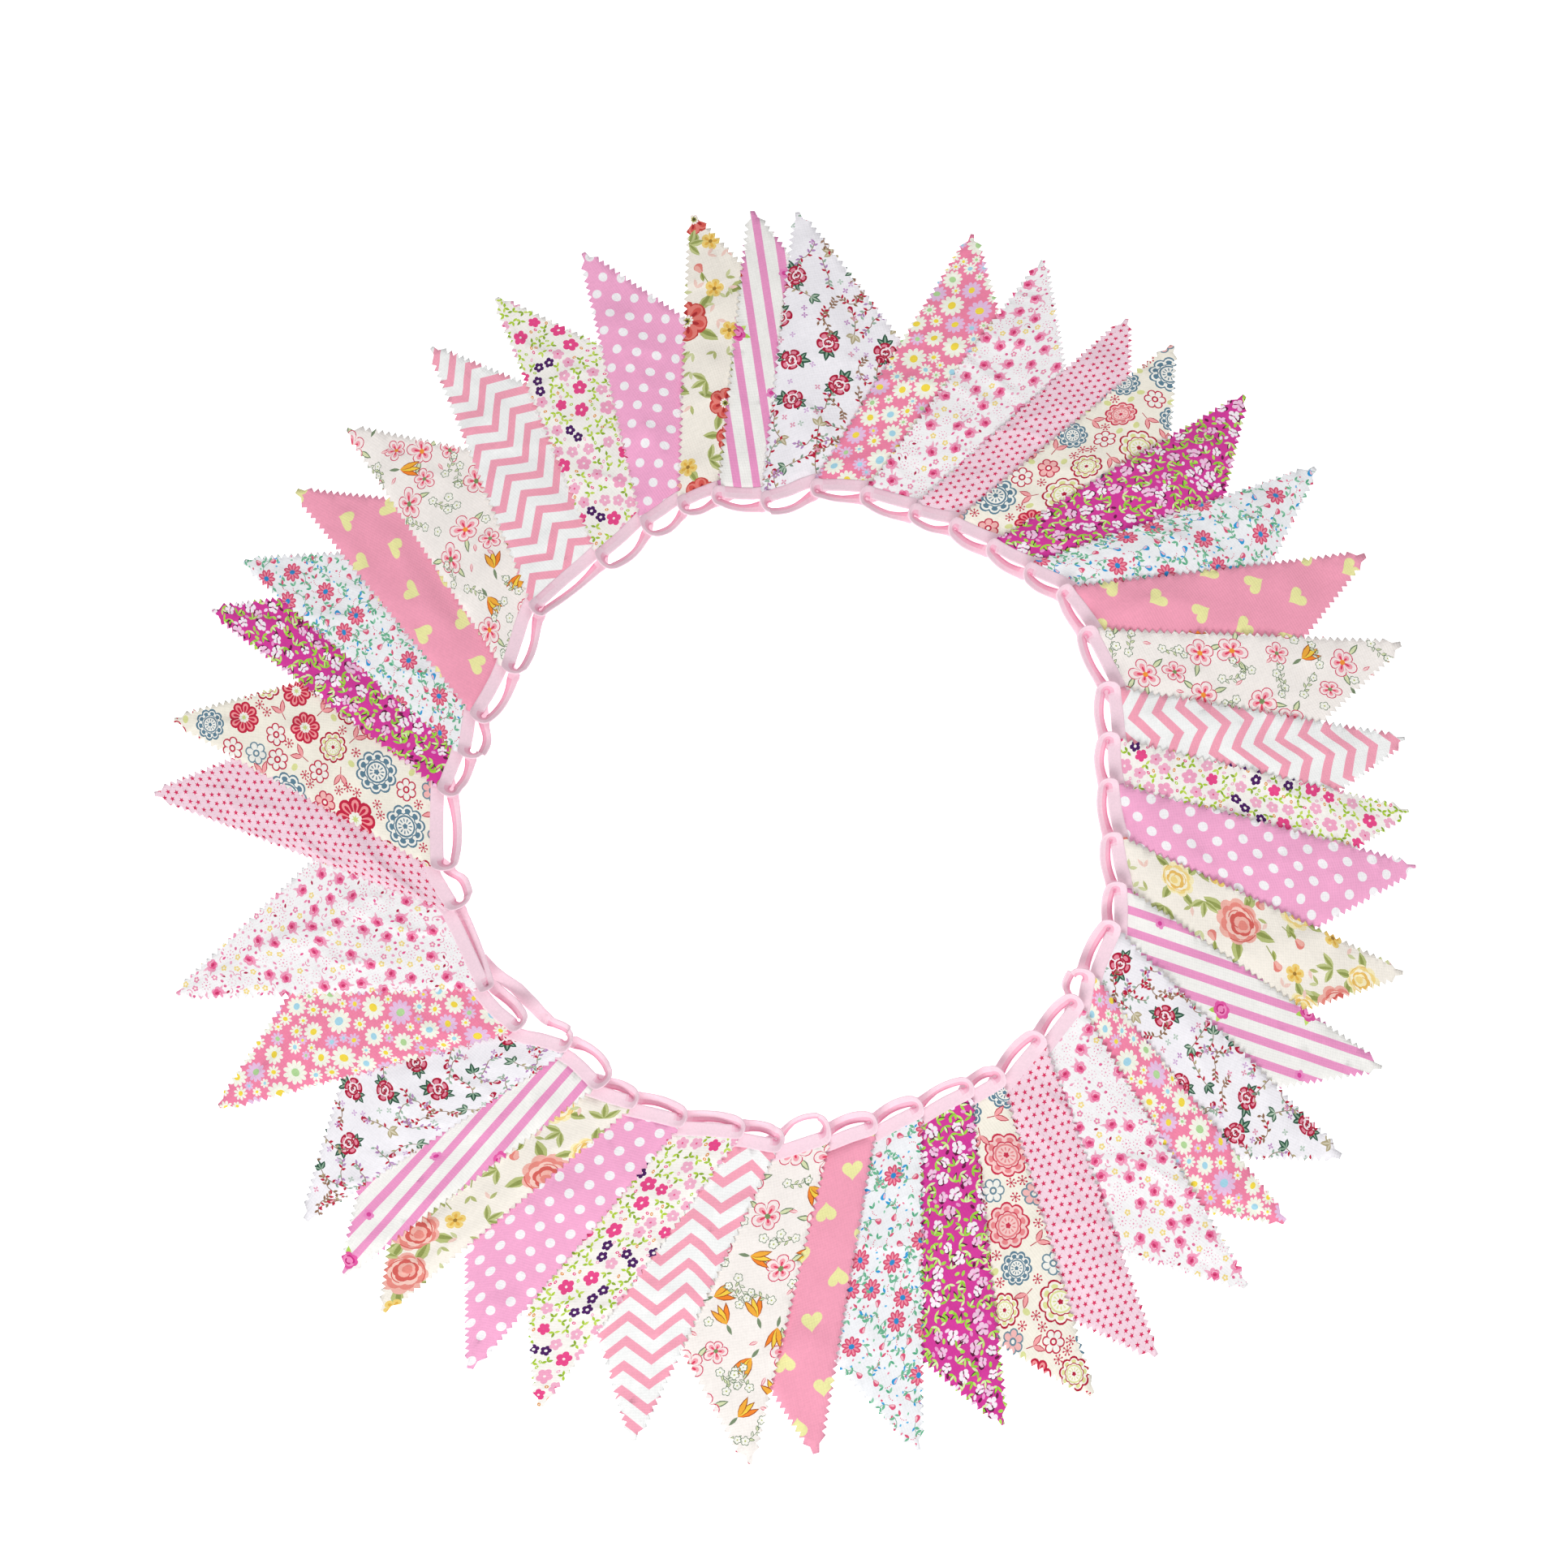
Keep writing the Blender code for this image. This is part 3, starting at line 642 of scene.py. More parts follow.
def little_rose(p, x, y, size, turn):
    """Pink rose with two lime leaves, as it sits on the stripes."""
    p.leaf(x, y, turn + 150.0, size * 1.0, size * 0.42, "#b4d95a")
    p.leaf(x, y, turn + 205.0, size * 0.95, size * 0.40, "#cde877")
    p.scalloped(x, y, size * 0.62, 6, 0.16, turn, "#e75aa6")
    p.oval(x, y, size * 0.44, size * 0.34, turn, "#f78fc4")
    p.arc(x, y, size * 0.34, turn + 20.0, 150.0, size * 0.12, "#cf2f86")
    p.arc(x, y, size * 0.20, turn + 190.0, 170.0, size * 0.10, "#c72a7c")


def little_bud(p, x, y, size, turn):
    p.scalloped(x, y, size * 0.55, 5, 0.25, turn, "#f08cc6")
    p.oval(x, y, size * 0.26, size * 0.22, turn, 8, "#d9479b")


# Stripes of each striped flag, by its number: lean in degrees, offset in mm, places of roses and buds
StripeLay = namedtuple("StripeLay", "lean offset roses buds")
STRIPE_LAYS = {
    2: StripeLay(6.5, -48.0, [(-34.0, 105.0)], [(-21.0, 59.0), (10.0, 139.0)]),
    16: StripeLay(4.5, -47.0, [(-10.5, 70.5), (-23.0, 135.0)], [(-57.0, 23.6), (19.0, 132.0)]),
    30: StripeLay(8.5, -54.0, [(-49.0, 72.0), (2.0, 181.0)], [(-8.0, 89.0), (8.0, 146.0)]),
}


def paint_rose_stripe(p):
    """Candy-pink stripes about 6 mm wide on white, with a few small roses."""
    lay = STRIPE_LAYS[p.number]
    stripes(p, lay.lean, lay.offset)
    for x, y in lay.roses:
        little_rose(p, x, y, 10.0, p.any_turn())
    for x, y in lay.buds:
        little_bud(p, x, y, 7.0, p.any_turn())


def twig(p, x, y, turn, length, bend, width, code):
    """Curved stem; returns the places and turns of its leaf joints."""
    points, joints = [], []
    at = Vector((x, y))
    way = turn
    for _ in range(7):
        points.append(at.copy())
        joints.append((at.x, at.y, way))
        at = beside(at.x, at.y, way, length / 6)
        way += bend / 6
    p.strip(points, width, code)
    return joints


def briar_rose(p, x, y, r, turn):
    """Crimson rose drawn in strokes, the white cloth showing between its petals."""
    for way in around(turn, 5):
        reach = r * p.random.uniform(0.86, 1.1)
        p.petal(x, y, way, r * 0.30, reach, r * 0.92, "#b3123a")
        p.petal(x, y, way + 6.0, r * 0.40, reach * 0.84, r * 0.50, "#e98a9f")
    p.scalloped(x, y, r * 0.58, 5, 0.16, turn, "#fbeaee")
    for ring in range(3):
        p.arc(x, y, r * (0.50 - 0.16 * ring), turn + 130.0 * ring, 200.0, r * 0.15, "#b3123a")
    p.oval(x, y, r * 0.12, r * 0.08, turn, 8, "#7d0f2c")


def briar_leaves(p, x, y, turn, size, tint, vein):
    """Spray of three pointed leaves, each with a paler middle."""
    for way, share in ((turn - 54.0, 0.8), (turn + 50.0, 0.86), (turn, 1.0)):
        p.leaf(x, y, way, size * share, size * 0.46, tint)
        p.leaf(x, y, way, size * share * 0.82, size * 0.16, vein)


def fine_twig(p, x, y, turn, length, tints):
    """Thin bent twig with a few small leaves and buds; returns the place and turn of its end."""
    joints = twig(p, x, y, turn, length, p.random.uniform(-90.0, 90.0), 0.6, "#9a7c66")
    for step, (a, b, way) in enumerate(joints[1:]):
        lean = 50.0 if step % 2 else -50.0
        p.leaf(a, b, way + lean, 3.4, 1.7, p.pick(*tints))
    return joints[-1]


def paint_briar(p):
    """Crimson roses with sprays of dark green leaves and fine brown twigs, wide apart on white."""
    for x, y, r, turn in p.motifs([(11.5, 9), (8.0, 14), (5.5, 24), (3.0, 34)], -1.6, 90):
        if r > 11.0:
            foot = beside(x, y, turn, r * 0.46)
            briar_leaves(p, foot.x, foot.y, turn, 8.4, "#2b5743", "#8fae96")
            foot = beside(x, y, turn + 158.0, r * 0.42)
            briar_leaves(p, foot.x, foot.y, turn + 158.0, 7.0, "#2b5743", "#8fae96")
            briar_rose(p, x, y, r * 0.66, turn)
        elif r > 7.0:
            end = fine_twig(p, x, y, turn + 180.0, 17.0, ("#c2183c", "#7d9a86", "#b8ab86"))
            p.petal(end[0], end[1], end[2], -0.6, 4.4, 3.6, "#b3123a")
            p.petal(end[0], end[1], end[2] + 20.0, 0.0, 3.2, 1.4, "#f3c3ce")
            tint, vein = p.pick(("#2b5743", "#8fae96"), ("#4b7159", "#b9cdb8"), ("#b8ab86", "#ded6bd"))
            briar_leaves(p, x, y, turn, 7.6, tint, vein)
        elif r > 4.0:
            tints = p.pick(("#8f6a4e", "#c2183c", "#a5806a"), ("#b98cc0", "#c2183c", "#9db8a4"))
            fine_twig(p, x, y, turn, 13.0, tints)
            fine_twig(p, x, y, turn + 150.0, 8.0, tints)
        else:
            tint = p.pick("#d9b6dd", "#c58fc6", "#e59bb4", "#b9cdbd")
            for way in around(turn, 4):
                p.petal(x, y, way, 0.2, r * 0.7, r * 0.42, tint)


def paint_daisy(p):
    """Cream and lilac daisies of four sizes packed on rose pink."""
    for x, y, r, turn in p.motifs([(8.6, 12), (6.8, 26), (4.8, 44), (3.2, 80)], -0.6, 90):
        tint = p.pick("#fbfbec", "#fbfbec", "#fbfbec", "#ecc5e6")
        petals = 11 if r > 6.0 else 9 if r > 4.0 else 7
        p.flower(x, y, r, petals, 0.38 if petals > 8 else 0.54, tint, turn, 0.15)
        p.oval(x, y, r * 0.52, r * 0.52, turn, 12, tint)
        centre = p.pick("#fbe04a", "#fbe04a", "#a9dcee", "#b6dd9c")
        p.oval(x, y, r * 0.36, r * 0.31, turn, 12, centre)


def paint_small_rose(p):
    """Hot-pink rosebuds 8 mm across among buds, dotted rings and yellow rings, on white."""
    for x, y, r, turn in p.motifs([(4.8, 52), (3.0, 60), (2.1, 60), (1.7, 90), (1.2, 130)], 0.8, 60):
        if r > 4.0:
            p.leaf(x, y, turn + 160.0, r * 1.6, r * 0.42, "#f7b4cb")
            p.leaf(x, y, turn + 215.0, r * 1.4, r * 0.36, "#f7b4cb")
            p.scalloped(x, y, r * 0.90, 5, 0.26, turn, "#f7a0c0")
            side = beside(x, y, turn, r * 0.14)
            p.scalloped(side.x, side.y, r * 0.62, 4, 0.24, turn + 30.0, "#ee6496")
            p.oval(side.x, side.y, r * 0.30, r * 0.20, turn, 8, "#cc3569")
            p.arc(side.x, side.y, r * 0.46, turn + 40.0, 130.0, r * 0.12, 5, "#fbc6d8")
        elif r > 2.8:
            tint = p.pick("#f2a3bf", "#ef7fa8", "#f6c3d4")
            for way in around(turn, 8):
                dot = beside(x, y, way, r * 0.86)
                p.oval(dot.x, dot.y, 0.42, 0.42, 0.0, 5, tint)
            p.oval(x, y, 0.7, 0.6, 0.0, 6, tint)
        elif r > 2.0:
            tint = p.pick("#f8dd84", "#f8dd84", "#f08fb4")
            p.flower(x, y, r, 5, 0.8, tint, turn, 0.1)
            p.oval(x, y, r * 0.40, r * 0.40, 0.0, 7, "#fdf8ea")
        elif r > 1.5:
            tint = p.pick("#ef5f9a", "#f28fb4", "#b8234f", "#f4a6c2")
            p.leaf(x, y, turn, r * 1.9, r * 1.0, tint)
            if p.random.random() < 0.5:
                p.arc(x, y, r * 1.2, turn + 60.0, 150.0, 0.5, 5, "#ee86ac")
        else:
            p.oval(x, y, r, r * 0.85, turn, 7, p.pick("#f6a9c6", "#e76a9a", "#f8c6d6"))


def lattice(p, step, shift, origin, radius):
    """Places and rows of a regular drop repeat: step down a row, shift to the next row across."""
    places = []
    for row in range(-24, 25):
        for column in range(-40, 41):
            x = origin[0] + row * shift[0] + column * step[0]
            y = origin[1] + row * shift[1] + column * step[1]
            if p.shows(x, y, radius):
                places.append((x, y, row))
    return places


def paint_star(p):
    """Small red stars on a close drop repeat over blush pink, none set quite like the next."""
    origin = (p.random.uniform(0.0, 5.0), p.random.uniform(0.0, 5.0))
    for x, y, _ in lattice(p, (0.3, 6.1), (5.4, 2.8), origin, 2.4):
        aside = p.random.uniform(-0.7, 0.7)
        along = p.random.uniform(-0.7, 0.7)
        p.star(x + aside, y + along, 1.95, 0.85, p.any_turn(), "#da2e60")
        p.oval(x + 2.8, y + 1.6, 0.42, 0.36, 0.0, 5, "#f2b4cc")


def ring_flower(p, x, y, r, lobes, outline, fill, inner, turn):
    """Scalloped round flower, drawn as an outline with rings inside it."""
    p.scalloped(x, y, r, lobes, 0.16, turn, outline)
    p.scalloped(x, y, r - 1.4, lobes, 0.17, turn, fill)
    for step in range(lobes):
        way = turn + 360.0 * (step + 0.5) / lobes
        p.petal(x, y, way, r * 0.52, r * 0.80, r * 0.30, inner)
    p.scalloped(x, y, r * 0.62, lobes, 0.10, turn, outline)
    p.scalloped(x, y, r * 0.56, lobes, 0.10, turn, fill)
    p.oval(x, y, r * 0.50, r * 0.50, 0.0, 22, inner)
    p.oval(x, y, r * 0.42, r * 0.42, 0.0, 22, fill)
    for way in around(turn, 11):
        p.petal(x, y, way, r * 0.18, r * 0.36, r * 0.07, inner)
    p.scalloped(x, y, r * 0.13, 5, 0.3, turn, outline)


def paint_folk_flower(p):
    """Round scalloped blossoms in crimson, pink and slate with leaf sprigs, on cream."""
    for x, y, r, turn in p.motifs([(15.0, 5), (11.0, 10), (8.0, 18), (5.6, 30), (2.8, 26)], 0.2, 90):
        if r > 10.0:
            kind = p.pick("slate", "crimson", "petals", "slate", "crimson", "pale")
            if kind == "slate":
                ring_flower(p, x, y, r, 10, "#5f8397", "#fbf9f0", "#5f8397", turn)
            elif kind == "crimson":
                ring_flower(p, x, y, r, 9, "#b8173a", "#fdf8ec", "#e2e59c", turn)
            elif kind == "pale":
                ring_flower(p, x, y, r, 9, "#d0314f", "#fcd0cc", "#ee8a8e", turn)
            else:
                p.flower(x, y, r, 8, 0.66, "#c81f42", turn, 0.2)
                p.flower(x, y, r * 0.88, 8, 0.42, "#f79a9c", turn, 0.3)
                p.flower(x, y, r * 0.74, 8, 0.22, "#cc2346", turn, 0.4)
                p.scalloped(x, y, r * 0.34, 8, 0.2, turn, "#fbf9f0")
                p.star(x, y, r * 0.22, r * 0.09, turn, 7, "#d5dd8c")
        elif r > 7.0:
            ink = p.pick("#c92a4c", "#6f8f9f")
            p.flower(x, y, r, 6, 0.78, ink, turn, 0.1)
            p.flower(x, y, r - 0.9, 6, 0.62, p.pick("#f9bdb9", "#fbf9f0"), turn, 0.1)
            p.oval(x, y, r * 0.32, r * 0.32, ink)
            p.oval(x, y, r * 0.17, r * 0.17, 0.0, 8, "#fdf8ec")
        elif r > 5.0:
            foot = beside(x, y, turn + 180.0, r * 0.9)
            p.strip([Vector((x, y)), foot], 0.6, "#b8203f")
            for way in (turn - 32.0, turn + 34.0):
                p.leaf(x, y, way, r * 1.7, r * 0.72, "#b8203f")
                p.leaf(x, y, way, r * 1.56, r * 0.50, "#f9a9aa")
        else:
            if p.random.random() < 0.6:
                for step in range(7):
                    end = beside(x, y, turn + 51.4 * step, r)
                    p.strip([Vector((x, y)), end], 0.5, "#c92a4c")
                    p.oval(end.x, end.y, 0.7, 0.7, 0.0, 6, "#c92a4c")
            else:
                p.oval(x, y, r, r * 0.75, turn, 10, "#e0e39c")


def paint_magenta_flower(p):
    """White and rose blossoms with plum shadows among lime leaves, crowded on magenta."""
    for x, y, r, turn in p.motifs([(4.8, 30), (3.7, 34), (3.3, 150), (2.2, 130)], -1.2, 60):
        if r > 3.5:
            petals = p.pick("#fdf3fa", "#fdf3fa", "#f6cbe6")
            p.oval(x + 0.9, y + 0.8, r * 0.9, r * 0.62, turn, 8, "#5f0f3c")
            for way in around(turn, 5):
                reach = r * p.random.uniform(0.74, 1.08)
                p.petal(x, y, way, r * 0.06, reach, r * 0.74, petals)
            for step in (0, 2):
                p.petal(x, y, turn + 36.0 + 72.0 * step, r * 0.1, r * 0.7, r * 0.22, "#7d1a4c")
            p.oval(x, y, r * 0.22, r * 0.16, turn, 6, "#e58cc0")
        elif r > 3.0:
            p.leaf(x - 0.4, y - 0.4, turn, r * 1.8, r * 0.62, "#5a1f3c")
            for way in (turn, turn + 62.0, turn - 58.0):
                tint = p.pick("#a3e03e", "#c4ee74", "#95d43a", "#dff5b0")
                p.leaf(x, y, way, r * p.random.uniform(1.1, 1.8), r * 0.5, tint)
        else:
            tint = p.pick("#fbe6f6", "#a6e048", "#b8ea5c", "#a6e048", "#6d1746", "#f0a0d2")
            p.oval(x, y, r * 0.85, r * 0.5, turn, 7, tint)


def paint_ditsy(p):
    """Pink flowers with blue eyes, blue buds and green leaves on curling stems, on cool white."""
    for x, y, r, turn in p.motifs([(7.3, 15), (4.8, 34), (3.2, 56), (1.6, 110)], -0.5, 60):
        if r > 5.0:
            for way in (turn + 180.0, turn + 20.0):
                joints = twig(p, x, y, way, r * 2.4, p.pick(-150.0, 150.0), 0.5, "#7fae96")
                for a, b, lean in joints[3::2]:
                    p.leaf(a, b, lean + 50.0, r * 0.55, r * 0.26, "#6dba92")
            p.flower(x, y, r * 0.94, 9, 0.46, "#dc4f74", turn, 0.1)
            p.flower(x, y, r * 0.78, 9, 0.24, "#f491a6", turn, 0.1)
            p.oval(x, y, r * 0.28, r * 0.24, turn, 9, "#2a8fd0")
        elif r > 4.0:
            joints = twig(p, x, y, turn, r * 2.2, p.pick(-110.0, 110.0), 0.45, "#7fae96")
            for a, b, way in joints[2::2]:
                p.leaf(a, b, way + 55.0, r * 0.8, r * 0.4, "#6dba92")
                p.leaf(a, b, way - 50.0, r * 0.6, r * 0.3, p.pick("#6dba92", "#2f9fdc"))
            ink = p.pick("#e0577a", "#2f9fdc", "#e0577a")
            p.petal(x, y, turn + 180.0, -0.4, r * 0.9, r * 0.8, ink)
            p.petal(x, y, turn + 200.0, 0.0, r * 0.7, r * 0.3, "#f9c0cb")
        elif r > 3.0:
            tint = p.pick("#6dba92", "#8fcdab", "#2f9fdc", "#e0577a")
            p.leaf(x, y, turn, r * 1.3, r * 0.55, tint)
            p.leaf(x, y, turn + 66.0, r * 1.2, r * 0.5, p.pick("#6dba92", "#4fae84"))
            for step in range(4):
                dot = beside(x, y, turn + 180.0 + 14.0 * step, r * (0.5 + 0.35 * step))
                p.oval(dot.x, dot.y, 0.42, 0.42, 0.0, 5, "#e0577a")
        else:
            tint = p.pick("#ee86a2", "#e2557a", "#8fcdab", "#5cb8e6")
            p.oval(x, y, r * 0.62, r * 0.42, turn, 6, tint)


# Where the repeat starts on each flag of hearts, by its number, and how far its hearts lean
HeartLay = namedtuple("HeartLay", "x y lean")
HEART_LAYS = {
    10: HeartLay(-18.7, 65.5, 0.0),
    24: HeartLay(-12.4, 105.0, -10.0),
    38: HeartLay(-44.0, 56.0, 4.0),
}


def paint_heart(p):
    """Lemon hearts 14 mm wide, every other row upside down, on rose pink."""
    lay = HEART_LAYS[p.number]
    for x, y, row in lattice(p, (0.0, 44.5), (22.0, 21.6), (lay.x, lay.y), 9.0):
        turn = -90.0 if row % 2 else 90.0
        p.heart(x, y, 14.2, turn + lay.lean, "#f3efa8")


def outlined_bloom(p, x, y, r, turn):
    """Five open petals drawn in line with a wash of pink from the middle."""
    for way in around(turn, 5):
        reach = r * p.random.uniform(0.74, 1.08)
        p.petal(x, y, way, r * 0.06, reach, r * 0.74, "#d93a64")
        p.petal(x, y, way, r * 0.02, reach - 0.6, r * 0.74 - 1.1, "#fdeeeb")
        p.petal(x, y, way, r * 0.10, reach * 0.7, r * 0.34, "#fba6b2")
        p.petal(x, y, way, r * 0.10, reach * 0.5, r * 0.13, "#e63c60")
    p.scalloped(x, y, r * 0.18, 6, 0.3, turn, p.pick("#fb9a38", "#7f9560"))


def small_outline(p, x, y, r, turn):
    """White flower of five petals drawn with a dark green line."""
    p.scalloped(x, y, r, 5, 0.3, turn, "#5f7a5c")
    p.scalloped(x, y, r - 0.5, 5, 0.32, turn, "#fbfaf0")
    p.oval(x, y, r * 0.2, r * 0.2, 0.0, 6, "#b9c46a")


def paint_outlined_flower(p):
    """Line-drawn pink blooms, amber lilies and fine grey-green twigs on ivory."""
    for x, y, r, turn in p.motifs([(11.5, 11), (8.5, 14), (6.5, 14), (4.0, 16)], -2.0, 90):
        if r > 10.0:
            for way in (turn + 20.0, turn + 150.0):
                foot = beside(x, y, way, r * 0.6)
                p.leaf(foot.x, foot.y, way, r * 0.9, r * 0.34, "#6f8565")
                p.leaf(foot.x, foot.y, way, r * 0.80, r * 0.20, "#dfe6b8")
            outlined_bloom(p, x, y, r * 0.96, turn)
        elif r > 7.0:
            if p.random.random() < 0.35:
                for step, tint in enumerate(("#fb8a2c", "#fbd54a", "#f9b23c")):
                    way = turn - 22.0 + 22.0 * step
                    p.leaf(x, y, way, r * 1.7, r * 0.52, "#a8521f")
                    p.leaf(x, y, way, r * 1.56, r * 0.38, tint)
                p.leaf(x, y, turn + 180.0, r * 0.9, r * 0.3, "#7d9070")
            else:
                outlined_bloom(p, x, y, r, turn)
        elif r > 5.0:
            joints = twig(p, x, y, turn, r * 2.2, p.random.uniform(-70, 70), 0.45, "#6f8565")
            for step, (a, b, way) in enumerate(joints[1:]):
                lean = 45.0 if step % 2 else -45.0
                p.leaf(a, b, way + lean, r * 0.62, r * 0.30, "#6f8565")
                p.leaf(a, b, way + lean, r * 0.54, r * 0.16, p.pick("#f3f3e2", "#dfe6b8"))
            small_outline(p, joints[-1][0], joints[-1][1], 2.8, turn)
            small_outline(p, x, y, 3.2, turn + 20.0)
        else:
            if p.random.random() < 0.5:
                small_outline(p, x, y, r * 0.85, turn)
            else:
                p.leaf(x, y, turn, r * 1.5, r * 0.6, "#d93a64")
                p.leaf(x, y, turn, r * 1.35, r * 0.38, "#fdd3d3")


# The first peak of each zigzag flag, by its number
ChevronLay = namedtuple("ChevronLay", "peak top")
CHEVRON_LAYS = {12: ChevronLay(-53.7, 2.0), 26: ChevronLay(-24.5, 6.0), 40: ChevronLay(-43.7, 10.5)}


def paint_chevron(p):
    """Pink zigzag bands 7 mm deep on white, 36 mm from peak to peak."""
    lay = CHEVRON_LAYS[p.number]
    half, rise, pitch, deep = 18.0, 14.0, 16.4, 7.0
    for row in range(-2, 14):
        top = lay.top + row * pitch
        upper = []
        for step in range(-5, 9):
            x = lay.peak + step * half
            here = top + (rise if step % 2 else 0.0)
            there = top + (0.0 if step % 2 else rise)
            for part in range(4):
                upper.append(Vector((mix(x, x + half, part / 4), mix(here, there, part / 4))))
        lower = [point + Vector((0.0, deep)) for point in upper]
        p.fill(upper + lower[::-1], "#fba9bd")


def round_flower(p, x, y, r, ink, eye, turn):
    """Flower of five round petals about a pale eye."""
    for way in around(turn, 5):
        place = beside(x, y, way, r * 0.58)
        p.oval(place.x, place.y, r * 0.44, r * 0.40, turn, 9, ink)
    p.oval(x, y, r * 0.42, r * 0.42, turn, 9, ink)
    p.oval(x, y, r * 0.20, r * 0.16, turn, 7, eye)


def paint_purple_sprig(p):
    """Clusters of purple, hot-pink and blush flowers with lime leaves on white."""
    greens = ("#b5d63a", "#a4c832", "#c8df5c", "#8fb030")
    for x, y, r, turn in p.motifs([(6.6, 18), (4.6, 34), (3.0, 90), (1.7, 90)], -0.6, 70):
        if r > 6.0:
            if p.random.random() < 0.45:
                ink = p.pick("#ee4a8c", "#f7a9c8", "#ee4a8c")
                round_flower(p, x, y, r * 0.84, ink, "#fdf3f0", turn)
            else:
                for aside in (0.0, 165.0):
                    place = beside(x, y, turn + aside, r * 0.62)
                    round_flower(p, place.x, place.y, r * 0.58, "#4a1660", "#fdf9f2", turn + aside)
                    p.oval(place.x, place.y, 1.15, 1.0, 0.0, 8, "#fdf9f2")
        elif r > 4.0:
            ink = p.pick("#ee4a8c", "#f7b4ce", "#f7b4ce", "#f7b4ce")
            round_flower(p, x, y, r * 0.95, ink, p.pick("#fdf9f2", "#e8578f"), turn)
        elif r > 2.5:
            for way in (turn, turn + 75.0, turn + 190.0):
                p.leaf(x, y, way, r * 1.3, r * 0.62, p.pick(*greens))
        else:
            tint = p.pick("#e8962f", "#ee4a8c", "#f7b4ce", "#b5d63a")
            p.oval(x, y, r * 0.85, r * 0.6, turn, 7, tint)
            p.oval(x, y, r * 0.3, r * 0.3, 0.0, 5, "#fdf9f2")


# Where the repeat starts on each spotted flag, by its number, and the drop of its next row
DotLay = namedtuple("DotLay", "x y shift")
DOT_LAYS = {14: DotLay(-9.0, 72.0, 6.8), 28: DotLay(-21.0, 60.0, 9.0), 42: DotLay(-20.6, 60.0, 9.0)}


def paint_polka_dot(p):
    """White spots 6.7 mm across on a half-drop repeat over candy pink."""
    lay = DOT_LAYS[p.number]
    for x, y, _ in lattice(p, (0.2, 17.9), (10.8, lay.shift), (lay.x, lay.y), 3.6):
        p.oval(x, y, 3.4, 3.3, p.any_turn(), 18, "#fefafc")


Cloth = namedtuple("Cloth", "ground paint")
CLOTHS = {
    "large_rose": Cloth("#fbf4e8", paint_large_rose),
    "rose_stripe": Cloth("#faf8f3", paint_rose_stripe),
    "briar": Cloth("#f9f6fa", paint_briar),
    "daisy": Cloth("#f889ab", paint_daisy),
    "small_rose": Cloth("#fcfafa", paint_small_rose),
    "star": Cloth("#fadae6", paint_star),
    "folk_flower": Cloth("#fbf5e6", paint_folk_flower),
    "magenta_flower": Cloth("#d93a9e", paint_magenta_flower),
    "ditsy": Cloth("#f5f6f8", paint_ditsy),
    "heart": Cloth("#f9a4bc", paint_heart),
    "outlined_flower": Cloth("#fcf5ef", paint_outlined_flower),
    "chevron": Cloth("#fbfbf9", paint_chevron),
    "purple_sprig": Cloth("#fdf9f2", paint_purple_sprig),
    "polka_dot": Cloth("#fbafd5", paint_polka_dot),
}


# The flags' cloth as it lies

